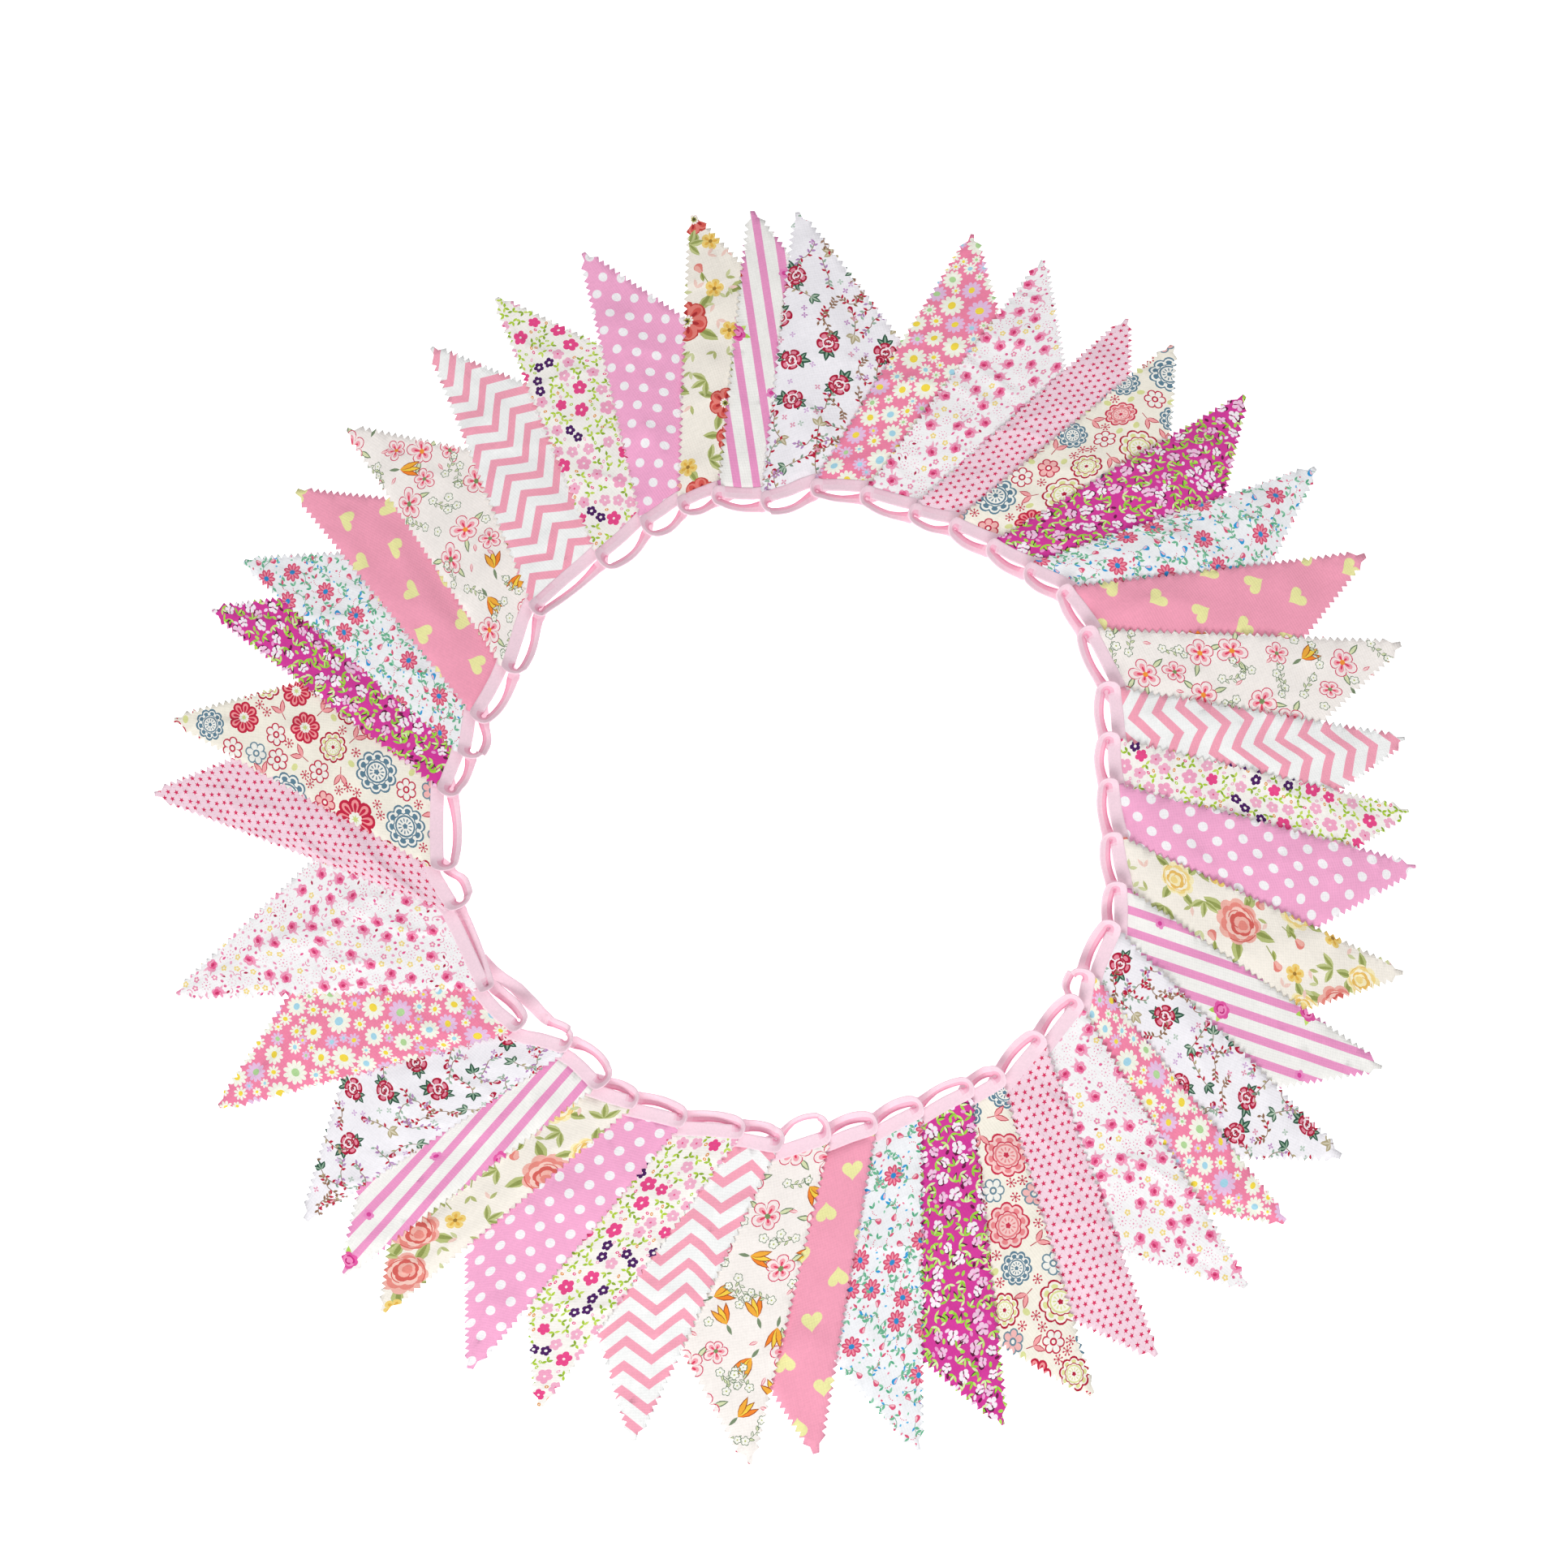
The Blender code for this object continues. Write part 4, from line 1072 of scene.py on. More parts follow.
class Drape:
    """Height of one flag's cloth over the table, with its folds and small wrinkles."""

    def __init__(self, index):
        self.index = index
        self.laid = LAID[index]
        self.height = FLAG_HEIGHT * self.laid.scale
        self.clear = notch_down(index) + NOTCH_MARGIN / self.height
        self.flat = min(self.clear + FALL_LENGTH / self.height, mix(self.clear, 1.0, 0.6))
        self.creases = [crease for crease in CREASES if crease.flag == index + 1]
        self.pleats = [pleat for pleat in PLEATS if pleat.flag == index + 1]
        shares = [next_edge_share(index, step / STRIP_STEPS) for step in range(STRIP_STEPS + 1)]
        self.strips = [min(max(share, STRIP_MIN), STRIP_MAX) for share in shares]

    def strip(self, down):
        at = min(max(down * STRIP_STEPS, 0.0), STRIP_STEPS - 0.001)
        return mix(self.strips[int(at)], self.strips[int(at) + 1], at - int(at))

    def folds(self, across, down):
        """Rise of the main folds, which die out under the next flag."""
        strip = self.strip(down)
        if across >= strip:
            return 0.0
        fade = self.clear * FOLD_FADE
        end = ease(down / fade) * ease((self.clear - down) / fade)
        rise = 0.0
        for crease in self.creases:
            apart = (down - crease.along) * FLAG_HEIGHT / crease.spread
            share = max(across, 0.0) / strip
            if share < 0.5:
                kept = mix(crease.edge, 1.0, ease(2.0 * share))
            else:
                kept = 1.0 - ease(2.0 * share - 1.0)
            rise += crease.rise * kept * math.exp(-apart * apart)
        return rise * end

    def ruffle(self, across, down, x, y):
        """Small wrinkles and soft creases of thin cotton, quiet at the seam and under the next flag."""
        shown = ease((self.strip(down) + 0.02 - across) / 0.14)
        # Each flag's wrinkles run their own way, 48 mm long and 21 mm wide, with sharp ridges between
        spin = 2.4 * self.index
        u = x * math.cos(spin) + y * math.sin(spin)
        v = y * math.cos(spin) - x * math.sin(spin)
        broad = noise.noise(Vector((u / 48.0, v / 21.0, 3.1 * self.index)))
        fine = noise.noise(Vector((u / 13.0, v / 9.0, 7.7 * self.index)))
        ridge = abs(noise.noise(Vector((u / 60.0, v / 34.0, 5.3 * self.index + 40.0))))
        rise = 2.1 * broad + 0.25 * fine + 1.1 * max(0.0, 1.0 - 7.0 * ridge) + 0.35
        # The trailing edge can't sink, since it rests on the flag below
        lowest = -0.05 - 0.3 * ease(across * 7.0)
        return max(rise, lowest) * shown * ease(down / 0.07)

    def pleated(self, x, y):
        """Rise of the sharper creases listed for this flag."""
        rise = 0.0
        for pleat in self.pleats:
            way = Vector((pleat.to_x - pleat.x, pleat.to_y - pleat.y))
            share = ((x - pleat.x) * way.x + (y - pleat.y) * way.y) / way.length_squared
            aside = ((x - pleat.x) * way.y - (y - pleat.y) * way.x) / way.length
            if -0.1 < share < 1.1:
                taper = ease((share + 0.1) / 0.3) * ease((1.1 - share) / 0.3)
                rise += pleat.rise * taper * math.exp(-(aside / pleat.wide) ** 2)
        return rise

    def top(self, x, y, wrinkled=True):
        """Point on the upper side of the cloth for a place on the flat cloth, in mm."""
        down = y / FLAG_HEIGHT
        wide = flat_width(min(y, FLAG_HEIGHT))
        across = x / wide + 0.5
        plan = self.laid.point(across, down)
        kept = 1.0 - ease((down - self.clear) / (self.flat - self.clear))
        height = (layer_height(self.index, plan) + COTTON_REST) * kept
        lift = 1.0 - ease(across * self.laid.length / FOLD_REACH)
        height += FOLD_LIFT * lift * (1.0 - ease(down * self.height / FOLD_DEPTH))
        height += self.folds(across, down)
        height += self.ruffle(across, down, x, y) + self.pleated(x, y) if wrinkled else -LINING
        height -= EDGE_DROOP * (1.0 - ease(across * wide / DROOP_WIDTH)) * ease(down / 0.1)
        curl = 0.15 * (1.0 - kept) * (1.0 + noise.noise(Vector((x / 14.0, y / 14.0, self.index))))
        return Vector((plan.x, plan.y, max(height + curl, COTTON_LOWEST) + COTTON))


def pinked_rim(index):
    """Outline of the flat cloth, with zigzag teeth down both sides and a small stub at the tip."""
    chance = random.Random(500 + index)
    wide = FLAG_WIDTH / 2
    rim = [Vector((mix(-wide, wide, step / 18), -SEAM_TUCK)) for step in range(19)]
    slope = math.atan2((FLAG_WIDTH - TIP_WIDTH) / 2, FLAG_HEIGHT)
    teeth = round(SIDE_LENGTH / TOOTH_PITCH * TOOTHED_SHARE)
    right, left = [], []
    for side, points in ((1.0, right), (-1.0, left)):
        for tooth in range(1, 2 * teeth):
            y = FLAG_HEIGHT * TOOTHED_SHARE * tooth / (2 * teeth)
            out = TOOTH_DEPTH / 2 * (1.0 if tooth % 2 else -1.0)
            x = flat_width(y) / 2 + out * math.cos(slope)
            points.append(Vector((side * x, y + out * math.sin(slope))))
    stub = chance.uniform(1.2, 2.4)
    shift = chance.uniform(-0.8, 0.8)
    tip = [
        Vector((stub + shift + 0.8, FLAG_HEIGHT * 0.975)),
        Vector((stub + shift, FLAG_HEIGHT + 0.6)),
        Vector((shift - stub, FLAG_HEIGHT + 1.0)),
        Vector((shift - stub - 0.8, FLAG_HEIGHT * 0.975)),
    ]
    return rim + right + tip + left[::-1]


def signed_area(points):
    total = 0.0
    for a, b in zip(points, points[1:] + points[:1]):
        total += cross(a, b)
    return total / 2


# Distance of the points inside the cloth, in mm: on its upper side, on its reverse, and where hidden
FINE_FIELD = 6.0
UNDER_FIELD = 9.0
HIDDEN_FIELD = 14.0


def field_points(sheet, fine):
    """Points over the inside of the cloth, close together where it shows."""
    points = []
    rows = int(FLAG_HEIGHT / fine)
    for row in range(1, rows):
        y = FLAG_HEIGHT * row / rows
        wide = flat_width(y) / 2 - 2.5
        x = -wide + (0.5 * fine if row % 2 else 0.0)
        while x < wide:
            points.append(Vector((x, y)))
            x += fine if sheet.shows(x, y, 3.0) else HIDDEN_FIELD
    return points


def box_of(outline):
    xs = [point[0] for point in outline]
    ys = [point[1] for point in outline]
    return min(xs), max(xs), min(ys), max(ys)


def triangles_inside(rim, points, shapes):
    """Triangulates the cloth with its printed shapes cut in; gives places, faces and colours."""
    places = list(rim)
    faces = [list(range(len(rim)))]
    for outline, _ in shapes:
        outline = outline if signed_area(outline) > 0.0 else outline[::-1]
        faces.append(list(range(len(places), len(places) + len(outline))))
        places += outline
    places += points
    flat, _, cut, _, _, sources = delaunay_2d_cdt(places, [], faces, 1, 1e-4, True)
    boxes = [box_of(outline) for outline, _ in shapes]
    kept, owners = [], []
    for face, source in zip(cut, sources):
        if 0 not in source:
            continue
        middle = (flat[face[0]] + flat[face[1]] + flat[face[2]]) / 3
        covering = [-1]
        for number in source:
            if number > 0:
                left, right, low, high = boxes[number - 1]
                if left < middle.x < right and low < middle.y < high:
                    covering.append(number - 1)
        kept.append(face)
        owners.append(max(covering))
    return flat, kept, owners


def rim_loop(faces):
    """The outline's edges of a triangulated sheet, joined into one closed run of points."""
    edges = set()
    for face in faces:
        for a, b in zip(face, face[1:] + face[:1]):
            if (b, a) in edges:
                edges.remove((b, a))
            else:
                edges.add((a, b))
    following = dict(edges)
    start = next(iter(sorted(following)))
    loop = [start]
    while following[loop[-1]] != start:
        loop.append(following[loop[-1]])
    return loop


def key_of(place):
    """Flat place rounded, to find the same point again in another triangulation."""
    return round(place.x, 4), round(place.y, 4)


def new_mesh(name, vertices, faces, tints, smooth):
    """Mesh with the dye of each face corner; takes vertices in mm from the ring's middle."""
    middle = middle_of_ring()
    mesh = bpy.data.meshes.new(name)
    mesh.from_pydata([tuple((point - middle) * MM) for point in vertices], [], faces)
    mesh.color_attributes.new("dye", "FLOAT_COLOR", "CORNER").data.foreach_set("color", tints)
    mesh.polygons.foreach_set("use_smooth", smooth)
    mesh.update()
    return mesh


def flag_mesh(name, sheet, drape):
    """Closed thin sheet of printed cotton: cut top, plain reverse and the cut edge between."""
    rim = pinked_rim(sheet.index)
    flat, faces, owners = triangles_inside(rim, field_points(sheet, FINE_FIELD), sheet.shapes)
    used = sorted({corner for face in faces for corner in face})
    number = {old: new for new, old in enumerate(used)}
    top = [flat[old] for old in used]
    faces = [[number[corner] for corner in face] for face in faces]
    loop = rim_loop(faces)
    edge = [top[corner] for corner in loop]
    under, under_faces, _ = triangles_inside(edge, field_points(sheet, UNDER_FIELD), [])
    on_edge = {key_of(place) for place in edge}
    lower = {key_of(place): step + len(top) for step, place in enumerate(under)}
    vertices = [drape.top(place.x, place.y) for place in top]
    for place in under:
        vertices.append(drape.top(place.x, place.y, key_of(place) in on_edge) - Vector((0.0, 0.0, COTTON)))
    all_faces = faces + [[corner + len(top) for corner in face[::-1]] for face in under_faces]
    for step, here in enumerate(loop):
        there = loop[(step + 1) % len(loop)]
        all_faces.append([lower[key_of(top[here])], lower[key_of(top[there])], there, here])
    tints = []
    for owner in owners:
        tints += (sheet.ground if owner < 0 else sheet.shapes[owner][1]) * 3
    pale = tuple(mix(value, 1.0, 0.45) for value in sheet.ground[:3]) + (1.0,)
    tints += pale * (3 * len(under_faces) + 4 * len(loop))
    smooth = [True] * (len(faces) + len(under_faces)) + [False] * len(loop)
    mesh = new_mesh(name, vertices, all_faces, tints, smooth)
    spots = top + list(under)
    corners = [value * MM for corner in mesh.loops for value in spots[corner.vertex_index]]
    mesh.uv_layers.new(name="cloth").data.foreach_set("uv", corners)
    return mesh


def middle_of_ring():
    """Middle of the box round the tips, which is the origin."""
    tips = [laid.point(across, 1.0) for laid in LAID for across in (0.0, 1.0)]
    xs = [tip.x for tip in tips]
    ys = [tip.y for tip in tips]
    return Vector(((min(xs) + max(xs)) / 2, (min(ys) + max(ys)) / 2, 0.0))


# The bias tape

Station = namedtuple("Station", "centre side up")
# The tape's own pale pink, and the deeper pink that is painted on leaning tape as shade
TAPE_LIGHT = "#fcdde8"
TAPE_SHADE_PINK = "#f19ebb"


def flat_station(plan, right, bottom, tilt=0.0):
    """Cross-section of tape at a plan point; a tilt raises its left edge by so many degrees."""
    angle = math.radians(tilt)
    rise = math.sin(angle) * TAPE_WIDTH / 2
    centre = Vector((plan.x, plan.y, bottom + rise + TAPE_THICKNESS / 2))
    side = Vector((right.x * math.cos(angle), right.y * math.cos(angle), -math.sin(angle)))
    up = Vector((right.x * math.sin(angle), right.y * math.sin(angle), math.cos(angle)))
    return Station(centre, side, up)


Strand = namedtuple("Strand", "spot bow height lean")
# The strand of tape that leaves a loop: how far on towards the next loop, its share of the bow,
# its height as a share of the loop's own, and its share of the flag's lean
STRANDS = [Strand(*row) for row in (
    (1.00, 0.34, 0.00, 0.00), (0.88, 0.50, 0.00, 0.40), (0.72, 0.72, 0.04, 0.80), (0.54, 0.90, 0.15, 1.00),
    (0.36, 1.00, 0.40, 1.00), (0.20, 1.00, 0.75, 1.00), (0.08, 0.94, 1.00, 1.00),
)]
Lean = namedtuple("Lean", "last strand band")
# How far the inner edge of the tape leans up, in degrees, by the last flag of each group: its strands
# and its binding
LEANS = [Lean(*row) for row in (
    (6, 44.0, 12.0), (10, 25.0, 8.0), (14, 34.0, 8.0), (17, 28.0, 4.0), (18, 46.0, 4.0), (21, 34.0, 4.0),
    (22, 54.0, 4.0), (24, 32.0, 4.0), (25, 64.0, 4.0), (29, 34.0, 4.0), (31, 50.0, 4.0), (33, 28.0, 4.0),
    (37, 40.0, 6.0), (39, 44.0, 8.0), (42, 44.0, 12.0),
)]
# How much further in a fully leaning strand stands, so that its foot stays in place, in mm
LEAN_KEEP = 4.5
# Where a loop curls round: how far past the flag's corner, its reach, and how steep the tape stands
LOOP_PAST = 2.2
LOOP_REACH = 5.0
LOOP_LEAN = 64.0
# How far along the binding its lean dies out, and where its first two stations lie, in mm
BAND_SETTLES = 70.0
BAND_STEPS = (4.5, 10.0)


def lean_of(index):
    return next(lean for lean in LEANS if index + 1 <= lean.last)


def stand_off(index, strand):
    """How far a strand's middle line stands inward of the corner line, and its lean in degrees."""
    lean = lean_of(index).strand * strand.lean
    return FLAGS[index].bow * strand.bow + LEAN_KEEP * (1.0 - math.cos(math.radians(lean))), lean


def strand_stations(index):
    """Tape from the point where it dives under the next flag back to the loop of this one."""
    loop_height = layer_height(index, LAID[index].corner) - FOLD_DROP
    stations = []
    for strand in STRANDS:
        inward = line_inward(index + strand.spot)
        out, lean = stand_off(index, strand)
        plan = corner_line(index + strand.spot) + inward * out
        bottom = mix(STRAND_REST, loop_height, strand.height)
        stations.append(flat_station(plan, -inward, bottom, lean))
    return stations


def fold_stations(index):
    """The round end of a loop, where the tape curls on edge from the strand into the binding."""
    laid = LAID[index]
    inward = laid.inwards[0]
    along = clockwise(inward, -90.0)
    out, full_lean = stand_off(index, STRANDS[-1])
    reach = min(out / 2, LOOP_REACH)
    middle = laid.corner + inward * out / 2 + along * (reach - LOOP_PAST)
    level = layer_height(index, laid.corner)
    stations = []
    for step in range(1, 8):
        angle = math.pi * step / 8
        share = ease(step / 8)
        outward = (inward * math.cos(angle) * reach - along * math.sin(angle) * out / 2).normalized()
        plan = middle + inward * math.cos(angle) * out / 2 - along * math.sin(angle) * reach
        start = mix(full_lean, lean_of(index).band, share)
        lean = mix(start, max(full_lean, LOOP_LEAN), math.sin(angle))
        bottom = mix(level - FOLD_DROP, level + FOLD_LIFT, share)
        stations.append(flat_station(plan, -outward, bottom, lean))
    return stations


def band_station(index, share):
    """Tape bound along the base of a flag, at a share from its trailing to its leading corner."""
    laid = LAID[index]
    outer, inner = (laid.base(share, side * TAPE_WIDTH / 2) for side in (-1, 1))
    low, high = (layer_height(index, edge) for edge in (outer, inner))
    lift = FOLD_LIFT * (1.0 - ease(share * laid.length / FOLD_REACH))
    seam = Vector((outer.x, outer.y, low + lift + TAPE_THICKNESS / 2))
    across = Vector((inner.x - outer.x, inner.y - outer.y, high - low)).normalized()
    lean = math.radians(lean_of(index).band) * (1.0 - ease(share * laid.length / BAND_SETTLES))
    side = across * math.cos(lean) + Vector((0.0, 0.0, math.sin(lean)))
    side.normalize()
    up = Vector((0.0, 0.0, 1.0)) - side * side.z
    return Station(seam + side * TAPE_WIDTH / 2, side, up.normalized())


def band_stations(index):
    marks = LAID[index].marks
    shares = [step / FLAG_WIDTH for step in BAND_STEPS]
    shares += [marks[1], marks[2], (marks[2] + marks[3]) / 2, marks[3], (marks[3] + 1.0) / 2, 1.0]
    return [band_station(index, share) for share in shares]


def turn_stations(index):
    """Flat turn of the tape just past a flag's leading corner, back towards the ring's middle."""
    laid = LAID[index]
    inward = laid.inwards[-1]
    middle = laid.far + laid.along * END_TUCK + inward * TURN_RADIUS
    stations = []
    for step in range(5):
        angle = math.pi * step / 4
        outward = -inward * math.cos(angle) + laid.along * math.sin(angle)
        plan = middle + outward * TURN_RADIUS
        bottom = max(mix(layer_height(index, plan), STRAND_REST, step / 4), STRAND_REST)
        stations.append(flat_station(plan, -outward, bottom))
    return stations


# Where the hidden run of tape is set down, as shares of the way back from the leading corner
HIDDEN_SHARES = (0.85, 0.6, 0.35, 0.12)


def hidden_stations(index):
    """Tape on the table along the band of the flag before, back under to where it shows."""
    laid = LAID[index - 1]
    stations = []
    for share in HIDDEN_SHARES:
        across = laid.share_at(mix(2.0, laid.reach, share))
        plan = laid.base(across, LANE)
        outward = (laid.base(across, 0.0) - plan).normalized()
        stations.append(flat_station(plan, outward, STRAND_REST))
    return stations


# The loose first end: how many flags on, and how far inward of the corner line, in mm
LOOSE_SPOTS = [
    (2.36, 3.5), (2.16, 7.5), (1.95, 12.0), (1.70, 16.0), (1.30, 17.0), (0.95, 16.5), (0.60, 13.0),
]


def loose_end_stations(index):
    """The first end of the tape, which lies loose along the inner side past two more loops."""
    stations = []
    for spot, inward in LOOSE_SPOTS:
        way = line_inward(index + spot)
        stations.append(flat_station(corner_line(index + spot) + way * inward, -way, STRAND_REST))
    return stations + strand_stations(index)[-3:]


def tape_stations():
    """The whole tape from its first end to its last, flag after flag."""
    stations = []
    for step in range(COUNT):
        index = (FIRST + step) % COUNT
        if step == 0:
            stations += loose_end_stations(index)
        else:
            stations += hidden_stations(index) + strand_stations(index)
        stations += fold_stations(index) + band_stations(index)
        if step < COUNT - 1:
            stations += turn_stations(index)
    return stations


def eased_run(stations, steps):
    """Stations made even-handed along the tape, with more of them eased in between."""
    run = []
    for station in stations:
        side, up = station.side.normalized(), station.up.normalized()
        if run and side.dot(run[-1].side) + up.dot(run[-1].up) < 0.0:
            side, up = -side, -up
        run.append(Station(station.centre, side, up))
    eased = []
    for index in range(len(run) - 1):
        around = [run[min(max(index + step, 0), len(run) - 1)] for step in (-1, 0, 1, 2)]
        a, b, c, d = (station.centre for station in around)
        reach = (c - b).length
        ahead = (c - a).normalized() * reach if index > 0 else c - b
        after = (d - b).normalized() * reach if index + 2 < len(run) else c - b
        for step in range(steps):
            t = step / steps
            centre = (
                b * (2 * t ** 3 - 3 * t ** 2 + 1) + ahead * (t ** 3 - 2 * t ** 2 + t)
                + c * (3 * t ** 2 - 2 * t ** 3) + after * (t ** 3 - t ** 2)
            )
            side = around[1].side.lerp(around[2].side, ease(t)).normalized()
            up = around[1].up.lerp(around[2].up, ease(t))
            up = (up - side * up.dot(side)).normalized()
            eased.append(Station(centre, side, up))
    eased.append(run[-1])
    return eased


# A quarter of the pressed tape's section and of the hollow between its two layers: distance from
# the middle line and half thickness, in mm
TAPE_HALF = [(0.0, 0.50), (2.80, 0.44), (3.50, 0.53), (4.25, 0.44), (4.50, 0.18)]
TAPE_HOLLOW = [(0.0, 0.10), (4.0, 0.06)]


def whole_section(half):
    """Closed section of the tape from the quarter of it given by half."""
    right = half[1:] + [(across, -high) for across, high in half[:0:-1]]
    left = [(-across, -high) for across, high in half[1:]]
    left += [(-across, high) for across, high in half[:0:-1]]
    return [half[0]] + right + [(0.0, -half[0][1])] + left


def painted_shade_share(station, a, b):
    """Share of painted shade, a deeper pink, on the face between two corners of the section of leaning
    tape: most on the low part of an upper face, a little on the underside.
    """
    lean = ease((abs(station.side.z) - 0.12) / 0.2)
    place = (a[0] + b[0]) / 2
    climb = place * (1.0 if station.side.z > 0.0 else -1.0) / (TAPE_WIDTH / 2)
    facing_up = (a[1] + b[1]) * station.up.z > 0.0
    return lean * ease(0.3 - 0.75 * climb) if facing_up else 0.15 * lean


def tape_mesh(name):
    """Two layers of tape pressed flat and swept along its run, with painted shade in deeper pink low on a
    leaning strand.
    """
    outside = whole_section(TAPE_HALF)
    inside = whole_section(TAPE_HOLLOW)
    run = eased_run(tape_stations(), 2)
    vertices, faces, tints = [], [], []
    # The tape's pale pink, and the deeper pink of the painted shade
    light, deep = linear(TAPE_LIGHT), linear(TAPE_SHADE_PINK)
    for profile, out in ((outside, True), (inside, False)):
        start = len(vertices)
        size = len(profile)
        for station in run:
            for across, high in profile:
                vertices.append(station.centre + station.side * across + station.up * high)
        for ring, station in enumerate(run[:-1]):
            for step in range(size):
                after = (step + 1) % size
                a, b = start + ring * size + step, start + ring * size + after
                faces.append((a, a + size, b + size, b) if out else (b, b + size, a + size, a))
                # Painted shade: the deeper pink is mixed in where leaning tape lies low or faces down
                shade = painted_shade_share(station, profile[step], profile[after])
                tints += tuple(mix(x, y, shade) for x, y in zip(light, deep)) * 4
    hollow = len(run) * len(outside)
    for ring in (0, len(run) - 1):
        low, high = ring * len(outside), hollow + ring * len(inside) - len(outside)
        for face in end_faces(len(outside), len(inside)):
            corners = [corner + (low if corner < len(outside) else high) for corner in face]
            faces.append(tuple(corners[::-1] if ring else corners))
            tints += light * len(face)
    mesh = new_mesh(name, vertices, faces, tints, [True] * len(faces))
    length = sum((b.centre - a.centre).length for a, b in zip(run, run[1:]))
    return mesh, length * MM


def end_faces(outer, inner):
    """Faces that join the outer and the inner ring of corners at a cut end of the tape."""
    faces = []
    here = 0
    for step in range(inner):
        there = round((step + 1) * outer / inner)
        corners = [corner % outer for corner in range(here, there + 1)]
        faces.append(corners + [outer + (step + 1) % inner, outer + step])
        here = there
    return faces


# Materials

def add_node(tree, kind, settings=None, values=None, links=None):
    """Adds a node, sets its properties and socket values, and links its inputs."""
    node = tree.nodes.new(kind)
    for name, value in (settings or {}).items():
        setattr(node, name, value)
    for name, value in (values or {}).items():
        node.inputs[name].default_value = value
    for name, socket in (links or {}).items():
        tree.links.new(socket, node.inputs[name])
    return node


def new_material(name):
    made = bpy.data.materials.new(name)
    made.use_nodes = True
    made.node_tree.nodes.clear()
    return made


def noise_on(tree, place, scale, detail, roughness):
    values = {"Scale": scale, "Detail": detail, "Roughness": roughness}
    return add_node(tree, "ShaderNodeTexNoise", None, values, {"Vector": place}).outputs["Fac"]


def spread(tree, noise_value, low, high):
    """Brightness between two values from the middle range of a noise."""
    values = {"From Min": 0.3, "From Max": 0.7, "To Min": low, "To Max": high}
    return add_node(tree, "ShaderNodeMapRange", None, values, {"Value": noise_value}).outputs["Result"]


def maths(tree, operation, first, second):
    links = {0: first, 1: second}
    return add_node(tree, "ShaderNodeMath", {"operation": operation}, None, links).outputs["Value"]


def cotton_surface(tree, shade, heights, values):
    """Dyed cotton: the dye times a shade, relief from two heights, and the shader's own values."""
    dye = add_node(tree, "ShaderNodeAttribute", {"attribute_name": "dye"})
    tinted = add_node(tree, "ShaderNodeVectorMath", {"operation": "SCALE"}, None,
                      {0: dye.outputs["Color"], "Scale": shade})
    links = {}
    for height, strength, distance in heights:
        links["Height"] = height
        bump = add_node(tree, "ShaderNodeBump", None, {"Strength": strength, "Distance": distance}, links)
        links["Normal"] = bump.outputs["Normal"]
    shader = add_node(tree, "ShaderNodeBsdfPrincipled", None, values,
                      {"Base Color": tinted.outputs["Vector"], "Normal": links["Normal"]})
    add_node(tree, "ShaderNodeOutputMaterial", None, None, {"Surface": shader.outputs["BSDF"]})


def printed_cotton(name):
    """Plain-weave cotton printed with matt ink: visible threads, ink a little uneven, soft sheen."""
    made = new_material(name)
    tree = made.node_tree
    place = add_node(tree, "ShaderNodeUVMap", {"uv_map": "cloth"}).outputs["UV"]
    # Threads 1.8 mm apart, several times as coarse as real ones, so that they show
    values = {"Scale": 175.0, "Distortion": 0.6, "Detail": 1.0, "Detail Scale": 2.0}
    links = {"Vector": place}
    warp = add_node(tree, "ShaderNodeTexWave", {"bands_direction": "X"}, values, links)
    weft = add_node(tree, "ShaderNodeTexWave", {"bands_direction": "Y"}, values, links)
    weave = maths(tree, "ADD", warp.outputs["Fac"], weft.outputs["Fac"])
    # Slubs about 2.4 mm long and blotches of ink about 26 mm wide
    slub = noise_on(tree, place, 420.0, 3.0, 0.6)
    blotch = noise_on(tree, place, 38.0, 3.0, 0.55)
    shade = maths(tree, "MULTIPLY", spread(tree, slub, 0.955, 1.03), spread(tree, blotch, 0.97, 1.025))
    cotton_surface(tree, shade, [(weave, 0.28, 0.0002), (blotch, 0.35, 0.0006)],
                   {"Roughness": 0.86, "IOR": 1.46, "Specular IOR Level": 0.25,
                    "Sheen Weight": 0.12, "Sheen Roughness": 0.5})
    return made


def bias_cotton(name):
    """Smooth cotton bias tape, pressed flat: a finer weave and a little more sheen."""
    made = new_material(name)
    tree = made.node_tree
    place = add_node(tree, "ShaderNodeTexCoord").outputs["Object"]
    # Slubs about 1.4 mm long, and crumples about 8 mm wide
    slub = noise_on(tree, place, 700.0, 3.0, 0.6)
    crumple = noise_on(tree, place, 120.0, 2.0, 0.5)
    cotton_surface(tree, spread(tree, slub, 0.95, 1.03), [(slub, 0.2, 0.0002), (crumple, 0.3, 0.0008)],
                   {"Roughness": 0.7, "IOR": 1.46, "Specular IOR Level": 0.3,
                    "Sheen Weight": 0.15, "Sheen Roughness": 0.45})
    return made


def backlit_acrylic(name):
    """Opal acrylic light table: white all over, so that shadows on it stay faint."""
    made = new_material(name)
    tree = made.node_tree
    values = {"Base Color": (0.95, 0.95, 0.95, 1.0), "Roughness": 0.9, "Specular IOR Level": 0.1,
              "Emission Color": (1.0, 1.0, 1.0, 1.0), "Emission Strength": 0.7}
    shader = add_node(tree, "ShaderNodeBsdfPrincipled", None, values)
    add_node(tree, "ShaderNodeOutputMaterial", None, None, {"Surface": shader.outputs["BSDF"]})
    return made


# Putting it together

def add_piece(name, mesh, material):
    mesh.materials.append(material)
    piece = bpy.data.objects.new(name, mesh)
    bpy.context.scene.collection.objects.link(piece)
    return piece


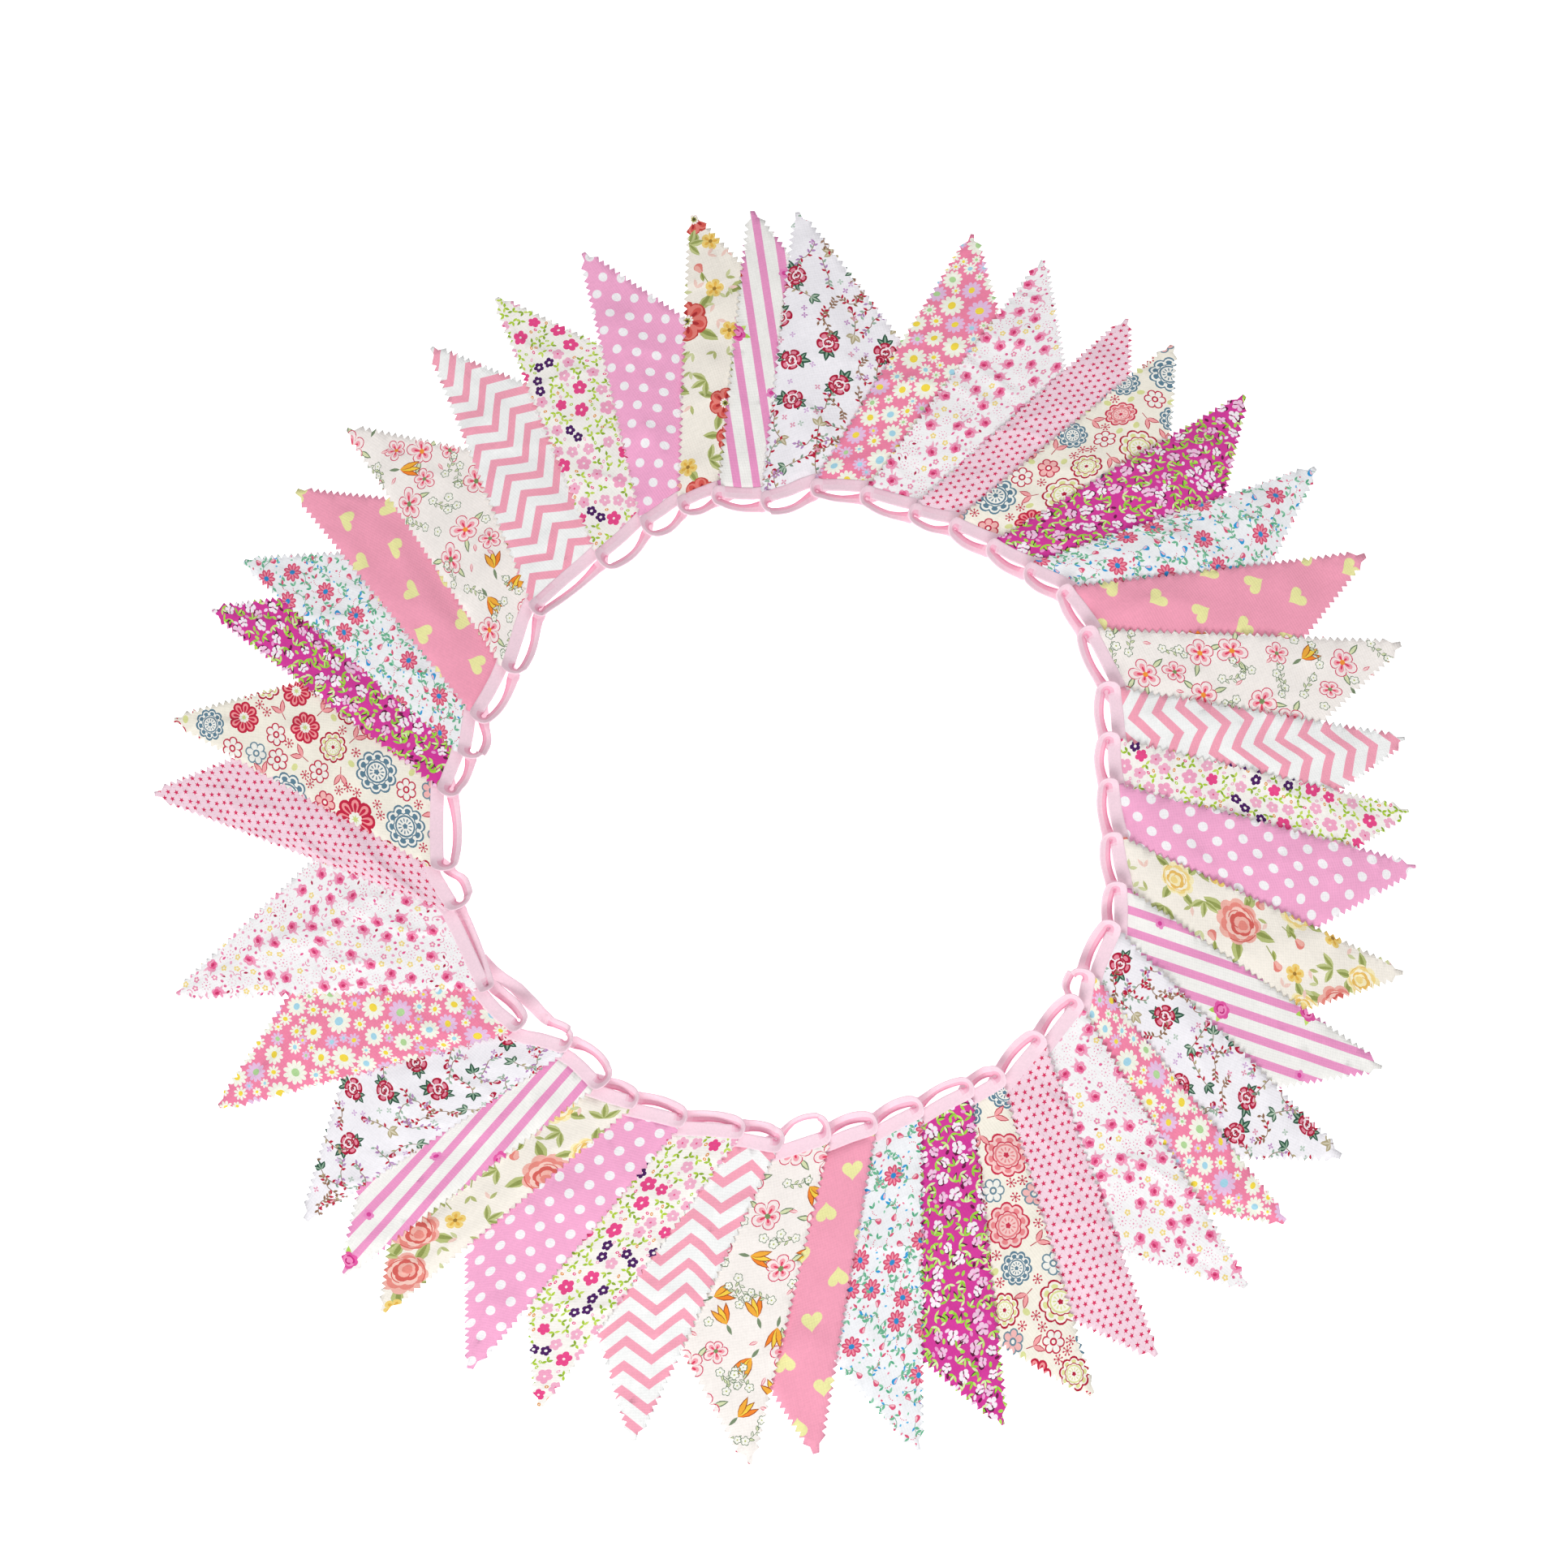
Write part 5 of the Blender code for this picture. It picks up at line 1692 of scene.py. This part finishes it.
def lay_flags():
    cottons = {print_name: printed_cotton("printed_cotton_" + print_name) for print_name in PRINTS}
    for index in range(COUNT):
        print_name = PRINTS[index % len(PRINTS)]
        cloth = CLOTHS[print_name]
        sheet = Print(index + 1, cloth.ground)
        cloth.paint(sheet)
        node = f"flag_{index + 1:02d}_{print_name}"
        name = "cotton_" + node
        piece = add_piece(name, flag_mesh(name, sheet, Drape(index)), cottons[print_name])
        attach(piece, "root")
        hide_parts(node)


def lay_tape():
    mesh, length = tape_mesh("folded_bias_tape")
    piece = add_piece("folded_bias_tape", mesh, bias_cotton("cotton_bias_tape"))
    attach(piece, "root")
    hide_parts("bias_tape")


# Half the side of the table that shows, in m
TABLE_REACH = 4.0


def add_table():
    mesh = bpy.data.meshes.new("table")
    corners = [(TABLE_REACH * x, TABLE_REACH * y, 0.0) for x, y in ((-1, -1), (1, -1), (1, 1), (-1, 1))]
    mesh.from_pydata(corners, [], [(0, 1, 2, 3)])
    table = add_piece("table", mesh, backlit_acrylic("backlit_white_acrylic"))


Lamp = namedtuple("Lamp", "name place size power")
# A wide key from the camera's lower side and a weaker fill from the far side, in m and W
LAMPS = [Lamp("key", (-0.7, -2.3, 2.1), 2.0, 60.0), Lamp("fill", (0.7, 1.0, 2.6), 2.0, 16.0)]
WORLD_STRENGTH = 0.42


def aim_at(thing, target):
    thing.rotation_euler = (target - thing.location).to_track_quat("-Z", "Y").to_euler()
    bpy.context.scene.collection.objects.link(thing)


def add_studio():
    world = bpy.data.worlds.new("soft_studio")
    world.use_nodes = True
    background = world.node_tree.nodes["Background"].inputs
    background["Color"].default_value = linear("#fbfcff")
    background["Strength"].default_value = WORLD_STRENGTH
    bpy.context.scene.world = world
    for row in LAMPS:
        light = bpy.data.lights.new(row.name, "AREA")
        light.shape = "DISK"
        light.size = row.size
        light.energy = row.power
        lamp = bpy.data.objects.new(row.name, light)
        lamp.location = row.place
        aim_at(lamp, Vector((0.0, 0.0, 0.0)))
    bpy.context.scene.view_settings.view_transform = "Standard"


# Where the camera looks, its place from there in m, and its lens in mm over a 36 mm sensor
TARGET = Vector((0.00054, 0.01476, 0.0))
CAMERA_PLACE = Vector((0.0, -0.1306, 1.0324))
LENS = 36.0


def add_camera():
    """Camera over the ring, tipped a little so that its lower side is nearer."""
    camera = bpy.data.objects.new("camera", bpy.data.cameras.new("camera"))
    camera.data.sensor_width = 36.0
    camera.data.lens = LENS
    camera.location = TARGET + CAMERA_PLACE
    aim_at(camera, TARGET)
    bpy.context.scene.camera = camera


add_camera()
lay_flags()
lay_tape()
add_table()
add_studio()
